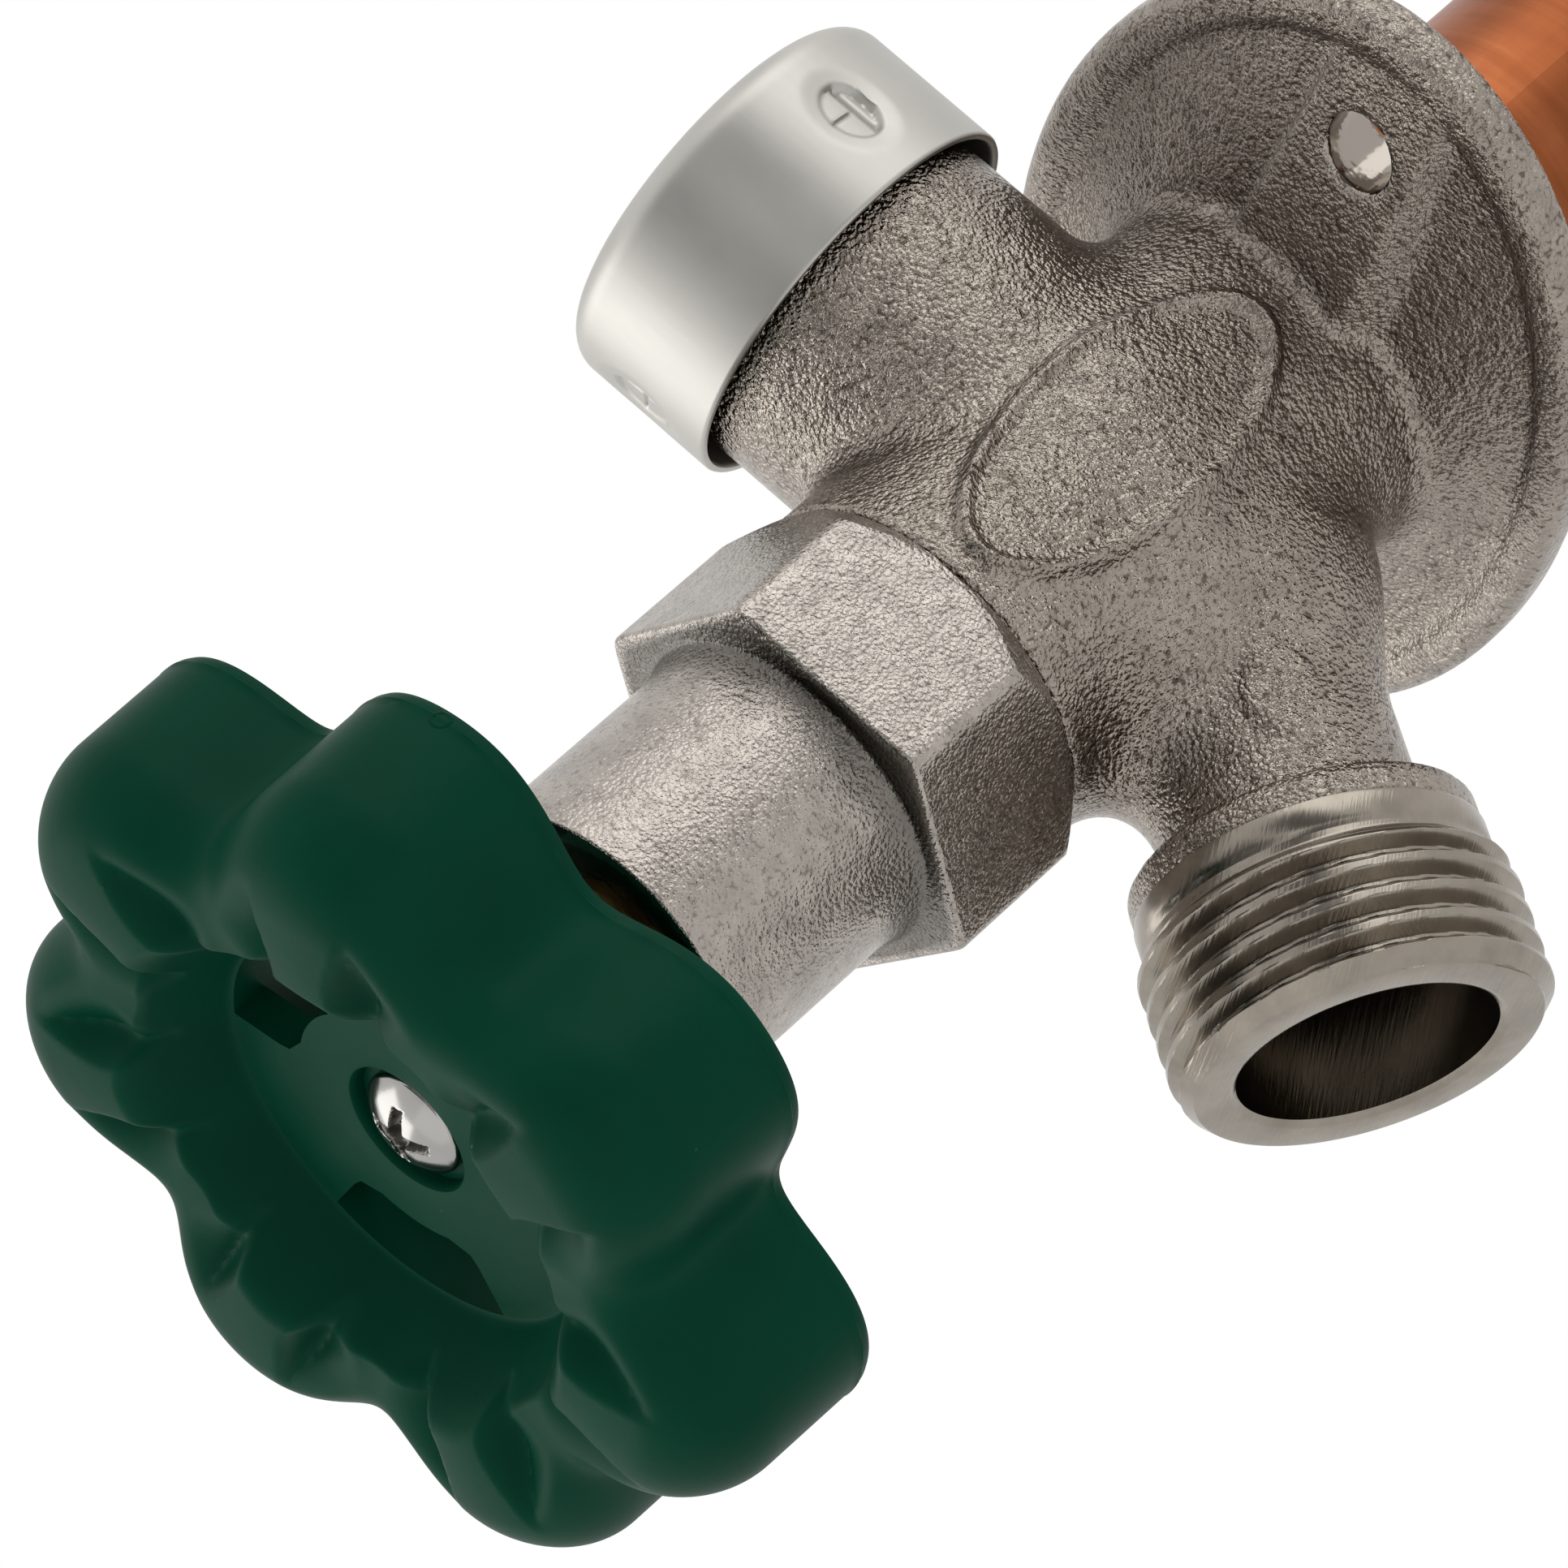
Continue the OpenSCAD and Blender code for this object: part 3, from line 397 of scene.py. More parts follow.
def settle(field, points, steps=2, probe=0.02):
    """Moves points on to the zero level: each step goes down the slope by the value over its steepness."""
    for _ in range(steps):
        value = field(*points.T)
        rises = [field(*(points + step).T) - field(*(points - step).T) for step in probe * np.eye(3)]
        slope = np.stack(rises, -1) / (2 * probe)
        steep = np.maximum((slope**2).sum(-1), 0.2)
        points = points - np.clip(value / steep, -CELL, CELL)[:, None] * slope
    return points


net_points, net_quads = net(body_field, NET_LOW, NET_HIGH, CELL)
net_points = settle(body_field, net_points)
casting_points = net_points * np.array([1.0, -1.0, 1.0])
casting = add_piece("casting", casting_points, net_quads, "casing", "valve_body", 60.0)

# %% [markdown]
# A drilled or bored face is bright and smooth while the cast skin is rough. A second material on those
# faces could show it, with an edge that follows the cells. The field knows better which is which, so each
# point stores how machined it is, and the finish reads that as an attribute.

# %% Mark the machined faces
MACHINED_WITHIN = 0.06
store(casting, "machined", np.abs(bored_field(*net_points.T)) < MACHINED_WITHIN)

# %% [markdown]
# The end of the outlet is turned on a lathe: a plain collar, then the hose thread, a chamfer, a flat end
# face and a bored mouth. The thread is a true helix. The Screw modifier could spin a tooth along it, but
# its two ends would need work by hand. On a grid of angle and distance the crest's height depends only on
# distance minus one pitch for each turn, so the ridge climbs as it goes round and fades out where it
# should.

# %% The turned hose end
HOSE_END = 47.7
PITCH = 2.209
THREAD_BACK = HOSE_END - 5 * PITCH
CREST_R = 13.4
ROOT_R = 12.25
MOUTH_R = 9.27


def hose_end_grid(columns=240):
    """Rows along the outlet and columns round it. The outer radius is the root plus the thread's height, a
    ridge with flat top and sloping flanks, faded out at the collar and trimmed by the end's chamfer."""
    angle = turn(columns)[None, :]
    distance = np.linspace(THREAD_BACK - 0.3, HOSE_END - 0.05, 150)[:, None]
    phase = ((distance - THREAD_BACK) / PITCH - angle / TAU) % 1.0
    ridge = np.clip((0.44 - np.abs(phase - 0.5)) / 0.32, 0, 1)
    ridge = ridge * smooth_step(distance, THREAD_BACK - 0.1, THREAD_BACK + 1.4)
    radius = ROOT_R + (CREST_R - ROOT_R) * ridge
    radius = np.minimum(radius, CREST_R - 0.9 * np.maximum(distance - (HOSE_END - 1.3), 0))
    outside = round_outlet(radius, angle, distance)
    collar = np.array([[12.2, NECK_END - 0.05], [12.42, NECK_END + 0.12], [12.5, NECK_END + 0.4],
                       [12.5, THREAD_BACK - 0.9], [12.4, THREAD_BACK - 0.6]])
    face = np.array([[12.0, HOSE_END], [11.0, HOSE_END], [9.9, HOSE_END], [9.62, HOSE_END - 0.06],
                     [MOUTH_R, HOSE_END - 0.4], [MOUTH_R, HOSE_END - 3], [MOUTH_R, HOSE_END - 6],
                     [MOUTH_R, HOSE_END - 9.5], [MOUTH_R - 0.8, HOSE_END - 10.6], [6.8, HOSE_END - 11.0],
                     [PASSAGE_R, HOSE_END - 11.4], [PASSAGE_R, NECK_END - 0.05], [9.0, NECK_END - 0.05]])
    before = round_outlet(collar[:, :1], angle, collar[:, 1:])
    after = round_outlet(face[:, :1], angle, face[:, 1:])
    return np.concatenate([before, outside, after])


hose_end = add_grid("hose_end", hose_end_grid(), True, "casing")

# %% [markdown]
# The bonnet nut is a casting too: a hexagon with slightly rounded corners, turned off at the back so that
# its flats end in arcs, and a long round snout that meets the hexagon's face in a deep fillet. A prism and
# a cylinder could be united and bevelled, but one grid gives the fillet and the arcs without that. Going
# round the axis, the hexagon's radius is its half width over the cosine to the nearest flat, and a high
# power mean of the cosines rounds the corners. The profile is carried round with that radius.

# %% The bonnet nut
NUT_HALF = 14.1
HEX_FRONT = 55.9
HEX_EDGE = 0.4
CHAMFER_R = 14.15
SNOUT_R = 11.82
SNOUT_EDGE = 0.15
FILLET = 0.8
FLARE = 3.0
NUT_FRONT = 74.65
NUT_THREAD_R = 12.05
NUT_ROOM_R = 6.65
STEM_BORE_R = 5.05
SEAL_GROOVE_R = 6.92


def hexagon_radius(angle, power=46.0):
    """Radius of a hexagon with flats at 0, 60 and 120 degrees and softly rounded corners."""
    flats = np.radians(np.arange(0, 360, 60))
    cosines = np.maximum(np.cos(angle[..., None] - flats), 0)
    return NUT_HALF / (cosines**power).sum(-1) ** (1 / power)


def bonnet_nut_grid(columns=360):
    """Rows run from the bore's back edge over the chamfer, flats, fillet and snout and back through the bore.
    Also says for each point whether it is turned and how far it lies in the recess before the snout, where
    the nut's finish paints shade."""
    rows = Rows(round_main, columns)
    row = rows.add
    hexagon = hexagon_radius(rows.angle)
    rows.follow([(NUT_THREAD_R, BARREL_FRONT + 0.02), (13.2, BARREL_FRONT + 0.02)])
    row(np.minimum(CHAMFER_R, hexagon - 0.1), BARREL_FRONT + 0.05)
    back = BARREL_FRONT + 0.12 + 1.2 * np.maximum(hexagon - CHAMFER_R, 0)
    row(hexagon - 0.06, back)
    row(hexagon, back + 0.1)
    for share in np.linspace(0.06, 1, 10):
        row(hexagon, back + 0.1 + (HEX_FRONT - 0.45 - back - 0.1) * share)
    start = hexagon - HEX_EDGE
    for bend in np.linspace(0.12, 1, 6) * np.pi / 2:
        row(start + HEX_EDGE * np.cos(bend), HEX_FRONT - HEX_EDGE + HEX_EDGE * np.sin(bend))
    inner = np.minimum(SNOUT_R + FILLET, start)
    sink = np.minimum(start - SNOUT_R, FILLET)
    recess_first = len(rows)
    for share in (0.33, 0.66):
        row(start + (inner - start) * share, HEX_FRONT)
    for bend in np.linspace(0, 1, 12) * np.pi / 2:
        row(SNOUT_R + sink * (1 - np.sin(bend)), HEX_FRONT + FLARE * (1 - np.cos(bend)))
    recess_last = len(rows)
    for station in np.linspace(HEX_FRONT + FLARE + 0.8, NUT_FRONT - 0.2, 18):
        row(SNOUT_R, station)
    for bend in np.linspace(0.15, 1, 4) * np.pi / 2:
        row(SNOUT_R + SNOUT_EDGE * (np.cos(bend) - 1), NUT_FRONT + SNOUT_EDGE * (np.sin(bend) - 1))
    cast_rows = len(rows)
    rows.follow([(9.0, NUT_FRONT), (5.3, NUT_FRONT), (STEM_BORE_R, 74.4)])
    for front, rear in ((73.75, 71.77), (70.87, 68.89)):
        rows.follow([(STEM_BORE_R, front), (SEAL_GROOVE_R, front)])
        rows.follow([(SEAL_GROOVE_R, rear), (STEM_BORE_R, rear)])
    rows.follow([(STEM_BORE_R, 67.99), (NUT_ROOM_R, 67.99), (NUT_ROOM_R, 60.0), (NUT_ROOM_R, 53.5),
                 (NUT_THREAD_R, 53.5), (NUT_THREAD_R, 48.0)])
    turned = np.repeat(np.arange(len(rows)) >= cast_rows - 1, columns)
    recess = np.zeros(len(rows))
    recess[recess_first:recess_last] = 1 - np.linspace(0, 1, recess_last - recess_first) ** 3
    return rows.grid(), turned, np.repeat(recess, columns)


nut_grid, nut_turned, nut_recess_shade = bonnet_nut_grid()
bonnet_nut = add_grid("bonnet_nut_casting", nut_grid, True, "casing", "bonnet_nut")
store(bonnet_nut, "machined", nut_turned)
# the recess attribute marks where the nut's finish paints shade
store(bonnet_nut, "recess", nut_recess_shade)

# %% [markdown]
# The handle is a moulded wheel with seven lobes. Seen from the front it is a height over the plane: a flat
# web, a steep wall that climbs to the crest, and a crest that is higher and rounder on the lobes than
# between them. Two creases mark off the back of each lobe like a finger, and each lies in a lens shaped
# hollow. So the front is a function of radius and angle. The outer edge rolls over into the lobed wall,
# which runs back to a thin ragged line where the mould parted.

# %% The handle's front as a height
LOBES = 7
WHEEL_COLUMNS = 504
LOBE_TURN = np.radians(69.3)
LOBE_STEP = TAU / LOBES
CREASE_SIDE = 4.1
CREASE_OUTER = 27.7
CREASE_LENGTH = 11.0
CREASE_DEPTH = 2.6
WEB_FRONT = 93.54


def lobe_wave(angle):
    """One on the middle of a lobe, minus one in the middle of a valley."""
    return np.cos(LOBES * (angle - LOBE_TURN))


def handle_outline(angle):
    """The outer radius: a mean circle with seven waves, filled out on their flanks by waves twice as many."""
    wave = lobe_wave(angle)
    return 29.6 + 3.3 * wave + 1.0 * (1 - wave**2)


def handle_roll(angle):
    """Radius of the outer edge's roll, larger on the lobes."""
    return 5.6 + 0.9 * lobe_wave(angle)


def crease_depth(radius, angle):
    """Depth of the hollows: a straight crease on either side of each lobe's middle line, as far from it all
    along. A steep lens shaped wall falls from the lobe into the crease, and a gentle slope leaves it."""
    off = (angle - LOBE_TURN) / LOBE_STEP
    off = (off - np.round(off)) * LOBE_STEP
    across = np.abs(radius * np.sin(off)) - CREASE_SIDE
    along = np.clip((CREASE_OUTER - radius * np.cos(off)) / CREASE_LENGTH, 0, 1)
    lens = np.sin(np.pi * along**1.4)
    wall = np.clip(1 + across / (0.35 + 1.55 * lens), 0, 1.6) ** 1.5
    slope = np.clip(1 - across / (1.9 + 2.7 * lens), 0, 1.5) ** 2
    return CREASE_DEPTH * lens * soft_min(wall, slope, 0.7)


def handle_height(radius, angle):
    """Station of the handle's front face: web, inner wall and crest joined softly, less the hollows."""
    wave = lobe_wave(angle)
    crest = 100.4 + 0.8 * wave - 0.012 * (radius - 24.0) ** 2
    wall = WEB_FRONT + 2.0 * (radius - 15.65)
    height = soft_min(soft_max(wall, WEB_FRONT + 0 * wall, 0.5), crest, 1.5 + 0.9 * wave)
    return height - crease_depth(radius, angle)


print("crest on a lobe", handle_height(26.0, LOBE_TURN).round(2), "mm from the wall")
print("crest in a valley", handle_height(22.0, LOBE_TURN + LOBE_STEP / 2).round(2), "mm from the wall")

# %% [markdown]
# The whole handle is one closed grid: its rows go from the hub's bore over the front and round the rim to
# the underside, and its columns go round the axis. The three windows are then cut by leaving out their
# quads on the front and the underside and walling the gap, which works because both sides have the same
# rows there.

# %% The handle's rows
WINDOW_R = (9.4, 15.4)
WINDOW_TURN = np.radians(76.5)
WINDOW_SPAN = np.radians(59.0)
WINDOW_STEP = TAU / 3
WINDOW_FADE = np.radians(24)
WINDOW_CORNER = 1.8
RIM_BACK = 84.94
WEB_BACK = 90.54
SKIRT_R = 18.0
HUB_R = 8.5
HUB_BACK = 76.94
SOCKET_END = 89.79
SOCKET_STEP = 81.94
SCREW_SEAT = 92.24
SCREW_HOLE_R = 2.06
SCREW_RECESS_R = 4.94


def off_window(angle):
    """The turn to an angle from the middle of the nearest window."""
    return (angle - WINDOW_TURN + WINDOW_STEP / 2) % WINDOW_STEP - WINDOW_STEP / 2


def window_angles(angle, radius):
    """Angles whose columns at the windows' ends lean into the windows near their inner edge, so that the
    inner corners come out round: the lean is what a circle takes off a square corner. It fades sideways."""
    deep = np.clip((WINDOW_R[0] + WINDOW_CORNER - radius) / WINDOW_CORNER, 0, 1)
    lean = WINDOW_CORNER * (1 - np.sqrt(1 - deep**2)) / radius
    off = off_window(angle)
    past = np.abs(off) - WINDOW_SPAN / 2
    fade = np.where(past > 0, np.clip(1 - past / WINDOW_FADE, 0, 1), np.abs(off) / (WINDOW_SPAN / 2))
    return angle - np.sign(off) * lean * fade


def handle_grid(columns=WHEEL_COLUMNS):
    """Rows of the handle from the hub's bore outwards over the front and back along the underside. Also
    gives the numbers of the rows between which the windows lie, on the front and on the underside."""
    rows = Rows(round_main, columns)
    row, angle = rows.add, rows.angle
    outline = handle_outline(angle)
    roll = handle_roll(angle)
    rows.follow([(4.95, SOCKET_STEP), (4.95, SOCKET_END), (SCREW_HOLE_R, SOCKET_END)])
    rows.follow([(SCREW_HOLE_R, SCREW_SEAT), (4.0, SCREW_SEAT), (SCREW_RECESS_R, SCREW_SEAT)])
    rows.follow([(SCREW_RECESS_R, 92.9), (4.97, 93.3), (5.1, 93.48)])
    rows.follow([(5.35, WEB_FRONT), (7.5, WEB_FRONT), (9.2, WEB_FRONT)])
    front_first = len(rows)
    spread = np.linspace(*WINDOW_R, 7)
    for radius in spread:
        row(radius, handle_height(radius, angle), window_angles(angle, radius))
    front_last = len(rows) - 1
    shoulder = outline - roll
    for share in np.linspace(0, 1, 58)[1:]:
        radius = WINDOW_R[1] + (shoulder - WINDOW_R[1]) * share
        row(radius, handle_height(radius, angle))
    top = handle_height(outline - 0.2, angle)
    for bend in np.linspace(0, 1, 25)[1:] * np.pi / 2:
        radius = shoulder + roll * np.sin(bend)
        row(radius, handle_height(radius, angle) - roll * (1 - np.cos(bend)))
    low = top - roll
    for share in np.linspace(0, 1, 13)[1:]:
        row(outline + 0.12 * share, low + (RIM_BACK + 1.2 - low) * share)
    ragged = 0.07 + 0.03 * np.sin(23 * angle + 1.0) * np.sin(11 * angle) + 0.02 * np.sin(61 * angle)
    row(outline + 0.12 + ragged, RIM_BACK + 1.05)
    row(outline + 0.10 + ragged, RIM_BACK + 0.92)
    row(outline + 0.08, RIM_BACK + 0.85)
    row(outline + 0.05, RIM_BACK + 0.45)
    row(outline - 0.12, RIM_BACK + 0.12)
    row(outline - 0.5, RIM_BACK)
    row(outline - 2.6, RIM_BACK)
    for share in np.linspace(0, 1, 7):
        row(outline - 3.0 - 0.2 * share, RIM_BACK + 0.3 + (WEB_BACK - 1.6 - RIM_BACK) * share)
    for bend in np.linspace(0.2, 1, 5) * np.pi / 2:
        row(outline - 3.2 - 1.3 * np.sin(bend), WEB_BACK - 1.3 * np.cos(bend))
    for share in np.linspace(0, 1, 4)[1:]:
        row(outline - 4.5 + (SKIRT_R + 0.5 - outline + 4.5) * share, WEB_BACK)
    rows.follow([(SKIRT_R, WEB_BACK - 0.5), (SKIRT_R, 88.0), (SKIRT_R, RIM_BACK + 0.4)])
    rows.follow([(SKIRT_R - 0.4, RIM_BACK), (WINDOW_R[1] + 0.4, RIM_BACK)])
    rows.follow([(WINDOW_R[1], RIM_BACK + 0.4), (WINDOW_R[1], 88.0)])
    under_first = len(rows)
    for radius in spread[::-1]:
        row(radius, WEB_BACK, window_angles(angle, radius))
    under_last = len(rows) - 1
    rows.follow([(HUB_R + 0.4, WEB_BACK - 0.1), (HUB_R + 0.1, WEB_BACK - 0.4), (HUB_R, WEB_BACK - 0.9)])
    rows.follow([(HUB_R, 86.0), (HUB_R, 77.3), (8.2, HUB_BACK), (6.5, HUB_BACK), (5.05, HUB_BACK)])
    row(5.05, SOCKET_STEP)
    return rows.grid(), (front_first, front_last, under_first, under_last)


wheel, wheel_marks = handle_grid()
print("the handle's grid has", wheel.shape[0], "rows of", wheel.shape[1], "points")

# %% [markdown]
# Each window is a patch of quads that is missing on the front and on the underside. Four walls join the two
# holes: one along the inner edge, one along the outer edge and one at either end.

# %% The handle with its windows
def cut_windows(quads, rows, columns, marks):
    """Leaves out the quads of the windows and walls them. The front's rows between the windows' radii face
    the underside's rows in the opposite order, so row k on one side pairs with row k from the other's end."""
    front_first, front_last, under_first, under_last = marks
    angle = (np.arange(columns) + 0.5) * TAU / columns
    opened = np.abs(off_window(angle)) < WINDOW_SPAN / 2
    row = np.repeat(np.arange(rows), columns)
    column = np.tile(np.arange(columns), rows)
    on_front = (row >= front_first) & (row < front_last)
    on_under = (row >= under_first) & (row < under_last)
    kept = quads[~(opened[column] & (on_front | on_under))]
    here = np.flatnonzero(opened)
    beyond = (here + 1) % columns

    def wall(*corners):
        """Quads whose four corners are given as rows and columns."""
        numbers = [at_row * columns + at_column for at_row, at_column in corners]
        return np.stack(np.broadcast_arrays(*numbers), 1)

    parts = [kept]
    parts.append(wall((under_last, beyond), (under_last, here), (front_first, here), (front_first, beyond)))
    parts.append(wall((under_first, here), (under_first, beyond), (front_last, beyond), (front_last, here)))
    steps = np.arange(front_last - front_first)
    front = front_first + steps
    under = under_last - steps
    begins = np.flatnonzero(opened & ~np.roll(opened, 1))
    ends = (np.flatnonzero(opened & ~np.roll(opened, -1)) + 1) % columns
    for edge in begins:
        parts.append(wall((under, edge), (under - 1, edge), (front + 1, edge), (front, edge)))
    for edge in ends:
        parts.append(wall((front, edge), (front + 1, edge), (under - 1, edge), (under, edge)))
    return np.concatenate(parts)


wheel_rows = len(wheel)
wheel_quads = cut_windows(grid_quads(wheel_rows, WHEEL_COLUMNS, True), wheel_rows, WHEEL_COLUMNS, wheel_marks)
wheel_points = wheel.reshape(-1, 3)
handle = add_piece("handle_moulding", wheel_points, wheel_quads, "spindle", "handle", 32.0)

# %% [markdown]
# The screw that holds the handle has a domed head with a cross recess. From the front it is again a height
# over radius and angle: a dome, less a cross whose wings narrow and grow shallower outwards.

# %% The handle's screw
SCREW_HEAD_R = 4.05
SCREW_CROWN = 94.55
SCREW_TURN = np.radians(20)
SHANK_R = 1.98


def screw_grid(columns=144):
    """Rows from the dome's crown outwards over the edge, under the head and down the shank to its tip."""
    angle = turn(columns)[None, :]
    radius = np.linspace(0, 1, 40)[:, None] * (SCREW_HEAD_R - 0.1)
    dome = SCREW_CROWN - 1.65 * (radius / SCREW_HEAD_R) ** 2.2
    one_way = np.abs(radius * np.cos(angle - SCREW_TURN))
    other_way = np.abs(radius * np.sin(angle - SCREW_TURN))
    wide = np.maximum(one_way, other_way)
    narrow = np.minimum(one_way, other_way)
    wing = np.maximum((narrow - 0.62 + 0.1 * wide) / 0.16, (wide - 2.35) / 0.22)
    hollow = (1.7 - 0.38 * wide) * smooth_step(-wing, -0.6, 1.0)
    face = round_main(radius, angle, dome - hollow)
    under = SCREW_SEAT + 0.02
    back = np.array([(SCREW_HEAD_R, 92.72), (SCREW_HEAD_R, 92.5), (SCREW_HEAD_R - 0.15, under), (3.0, under),
                     (SHANK_R, under), (SHANK_R, 90.0), (SHANK_R, 86.0), (SHANK_R, 81.4),
                     (1.4, 80.5), (0.0, 80.4)])
    return np.concatenate([face, round_main(back[:, :1], angle, back[:, 1:])])


def close_poles(piece, distance=1e-7):
    """Merges the doubled points of a grid's poles."""
    work = bmesh.new()
    work.from_mesh(piece.data)
    bmesh.ops.remove_doubles(work, verts=work.verts, dist=distance)
    bmesh.ops.dissolve_degenerate(work, edges=work.edges, dist=distance)
    work.to_mesh(piece.data)
    work.free()
    piece.data.update()


handle_screw = add_grid("handle_screw_head", screw_grid(), False, "spindle", "handle_screw")
close_poles(handle_screw)

# %% [markdown]
# The vent's cap is pressed from thin sheet. It is a profile turned round the vent's axis, closed over the
# top and open below, with three dimples punched into its skirt. Each dimple is a shallow bowl with a small
# tongue set into its middle, which a fold and a fine slit mark off, so the radius loses a little depth
# there. Solidify could give the sheet its thickness; here the rows simply turn at the rim and come back
# inside.

# %% The vent cap
CAP_R = 15.2
CAP_TOP = 36.8
CAP_CROWN = 0.12
CAP_EDGE = 2.3
CAP_RIM = 23.3
SHEET = 0.6
DIMPLES = np.radians([10.0, 130.0, 250.0])
DIMPLE_HEIGHT = 29.4


def dimple_depth(angle, height):
    """Depth pressed into the skirt: a soft oval bowl, and in its middle a tongue set in a little further,
    with a fold along the wall and a fine slit across it."""
    away = (angle[..., None] - DIMPLES + np.pi) % TAU - np.pi
    side = CAP_R * away
    up = height - DIMPLE_HEIGHT
    reach = np.hypot(side / 2.2, up / 2.65)
    inside = smooth_step(-reach, -1.0, -0.82)
    bowl = 0.3 * smooth_step(-np.hypot(side / 3.6, up / 4.2), -1.0, -0.5)
    tongue = (0.36 + 0.1 * side) * inside
    slit = 0.2 * np.exp(-((up / 0.14) ** 2)) * inside * smooth_step(-side, -0.7, 0.0)
    fold = 0.24 * np.exp(-(((side - 0.7) / 0.2) ** 2)) * inside
    return (bowl + tongue + slit + fold).sum(-1)


def cap_grid(columns=480):
    """Rows from the crown's middle over the edge and down the skirt, round the rim and back up inside."""
    rows = Rows(round_vent, columns)
    row, angle = rows.add, rows.angle
    flat_r = CAP_R - CAP_EDGE
    bend_low = CAP_TOP - CAP_CROWN - CAP_EDGE
    for share in np.linspace(0, 1, 14):
        row(flat_r * share, CAP_TOP - CAP_CROWN * share**2)
    for bend in np.linspace(0.1, 1, 10) * np.pi / 2:
        row(flat_r + CAP_EDGE * np.sin(bend), bend_low + CAP_EDGE * np.cos(bend))
    skirt = np.linspace(bend_low - 0.2, CAP_RIM + 0.2, 64)
    for height in skirt:
        row(CAP_R - dimple_depth(angle, height), height)
    row(CAP_R - 0.1, CAP_RIM + 0.04)
    row(CAP_R - SHEET / 2, CAP_RIM)
    row(CAP_R - SHEET + 0.1, CAP_RIM + 0.04)
    for height in skirt[::-1][::2]:
        row(CAP_R - SHEET - dimple_depth(angle, height), height)
    inner = CAP_EDGE - SHEET
    for bend in np.linspace(1, 0.1, 6) * np.pi / 2:
        row(flat_r + inner * np.sin(bend), bend_low + inner * np.cos(bend))
    for share in np.linspace(1, 0, 6):
        row(flat_r * share, CAP_TOP - SHEET - 0.02 - CAP_CROWN * share**2)
    return rows.grid()


vent_cap = add_grid("vent_cap_pressing", cap_grid(), False, "casing", "vent_cap")
close_poles(vent_cap)

# %% [markdown]
# Finishes come next. A finish is a small graph of nodes that reads Object coordinates, which are the part's
# own metres here, so a grain of half a millimetre is a texture scale of about two thousand. A short helper
# adds nodes and joins sockets, and the floor and the world use it too.

# %% Helpers for trees of nodes
class Graph:
    """A tree of nodes, and short calls that add nodes to it and join them."""

    def __init__(self, tree):
        self.tree = tree

    def add(self, kind, **inputs):
        """A node of that kind with some of its inputs set to values or joined to other sockets."""
        node = self.tree.nodes.new(kind)
        for name, value in inputs.items():
            self.put(value, node.inputs[name.replace("_", " ")])
        return node

    def put(self, value, socket):
        """Joins another socket to this one, or sets it to a value. Three numbers make a solid colour."""
        if isinstance(value, bpy.types.NodeSocket):
            self.tree.links.new(value, socket)
        elif socket.type == "RGBA":
            socket.default_value = (*value, 1)
        else:
            socket.default_value = value

    def math(self, operation, a, b=0.0):
        """One sum, product or other operation on two values."""
        node = self.tree.nodes.new("ShaderNodeMath")
        node.operation = operation
        for socket, value in zip(node.inputs, (a, b)):
            self.put(value, socket)
        return node.outputs[0]

    def seen_by(self, *rays):
        """One for rays of any of those kinds and zero for all others: the greatest of their light paths."""
        path = self.add("ShaderNodeLightPath").outputs
        seen = path[rays[0]]
        for ray in rays[1:]:
            seen = self.math("MAXIMUM", seen, path[ray])
        return seen

    def choose(self, share, one, two):
        """The shader one where the share is zero and the shader two where it is one."""
        node = self.add("ShaderNodeMixShader", Fac=share)
        self.put(one, node.inputs[1])
        self.put(two, node.inputs[2])
        return node.outputs[0]


def grey(value):
    """A neutral colour of that value."""
    return (value, value, value)


def shaded(colour, share):
    """A colour times a share."""
    return tuple(share * c for c in colour)


print("half of a mid grey is", shaded(grey(0.5), 0.5))

# %% [markdown]
# A finish is a material. Its helper knows the shader and the Object coordinates, and has one short call for
# each kind of pattern: noise, cells, ramps of colour, and bumps that tilt the surface. The graph could be
# built by hand in the editor, but written out as calls it can be read from top to bottom.

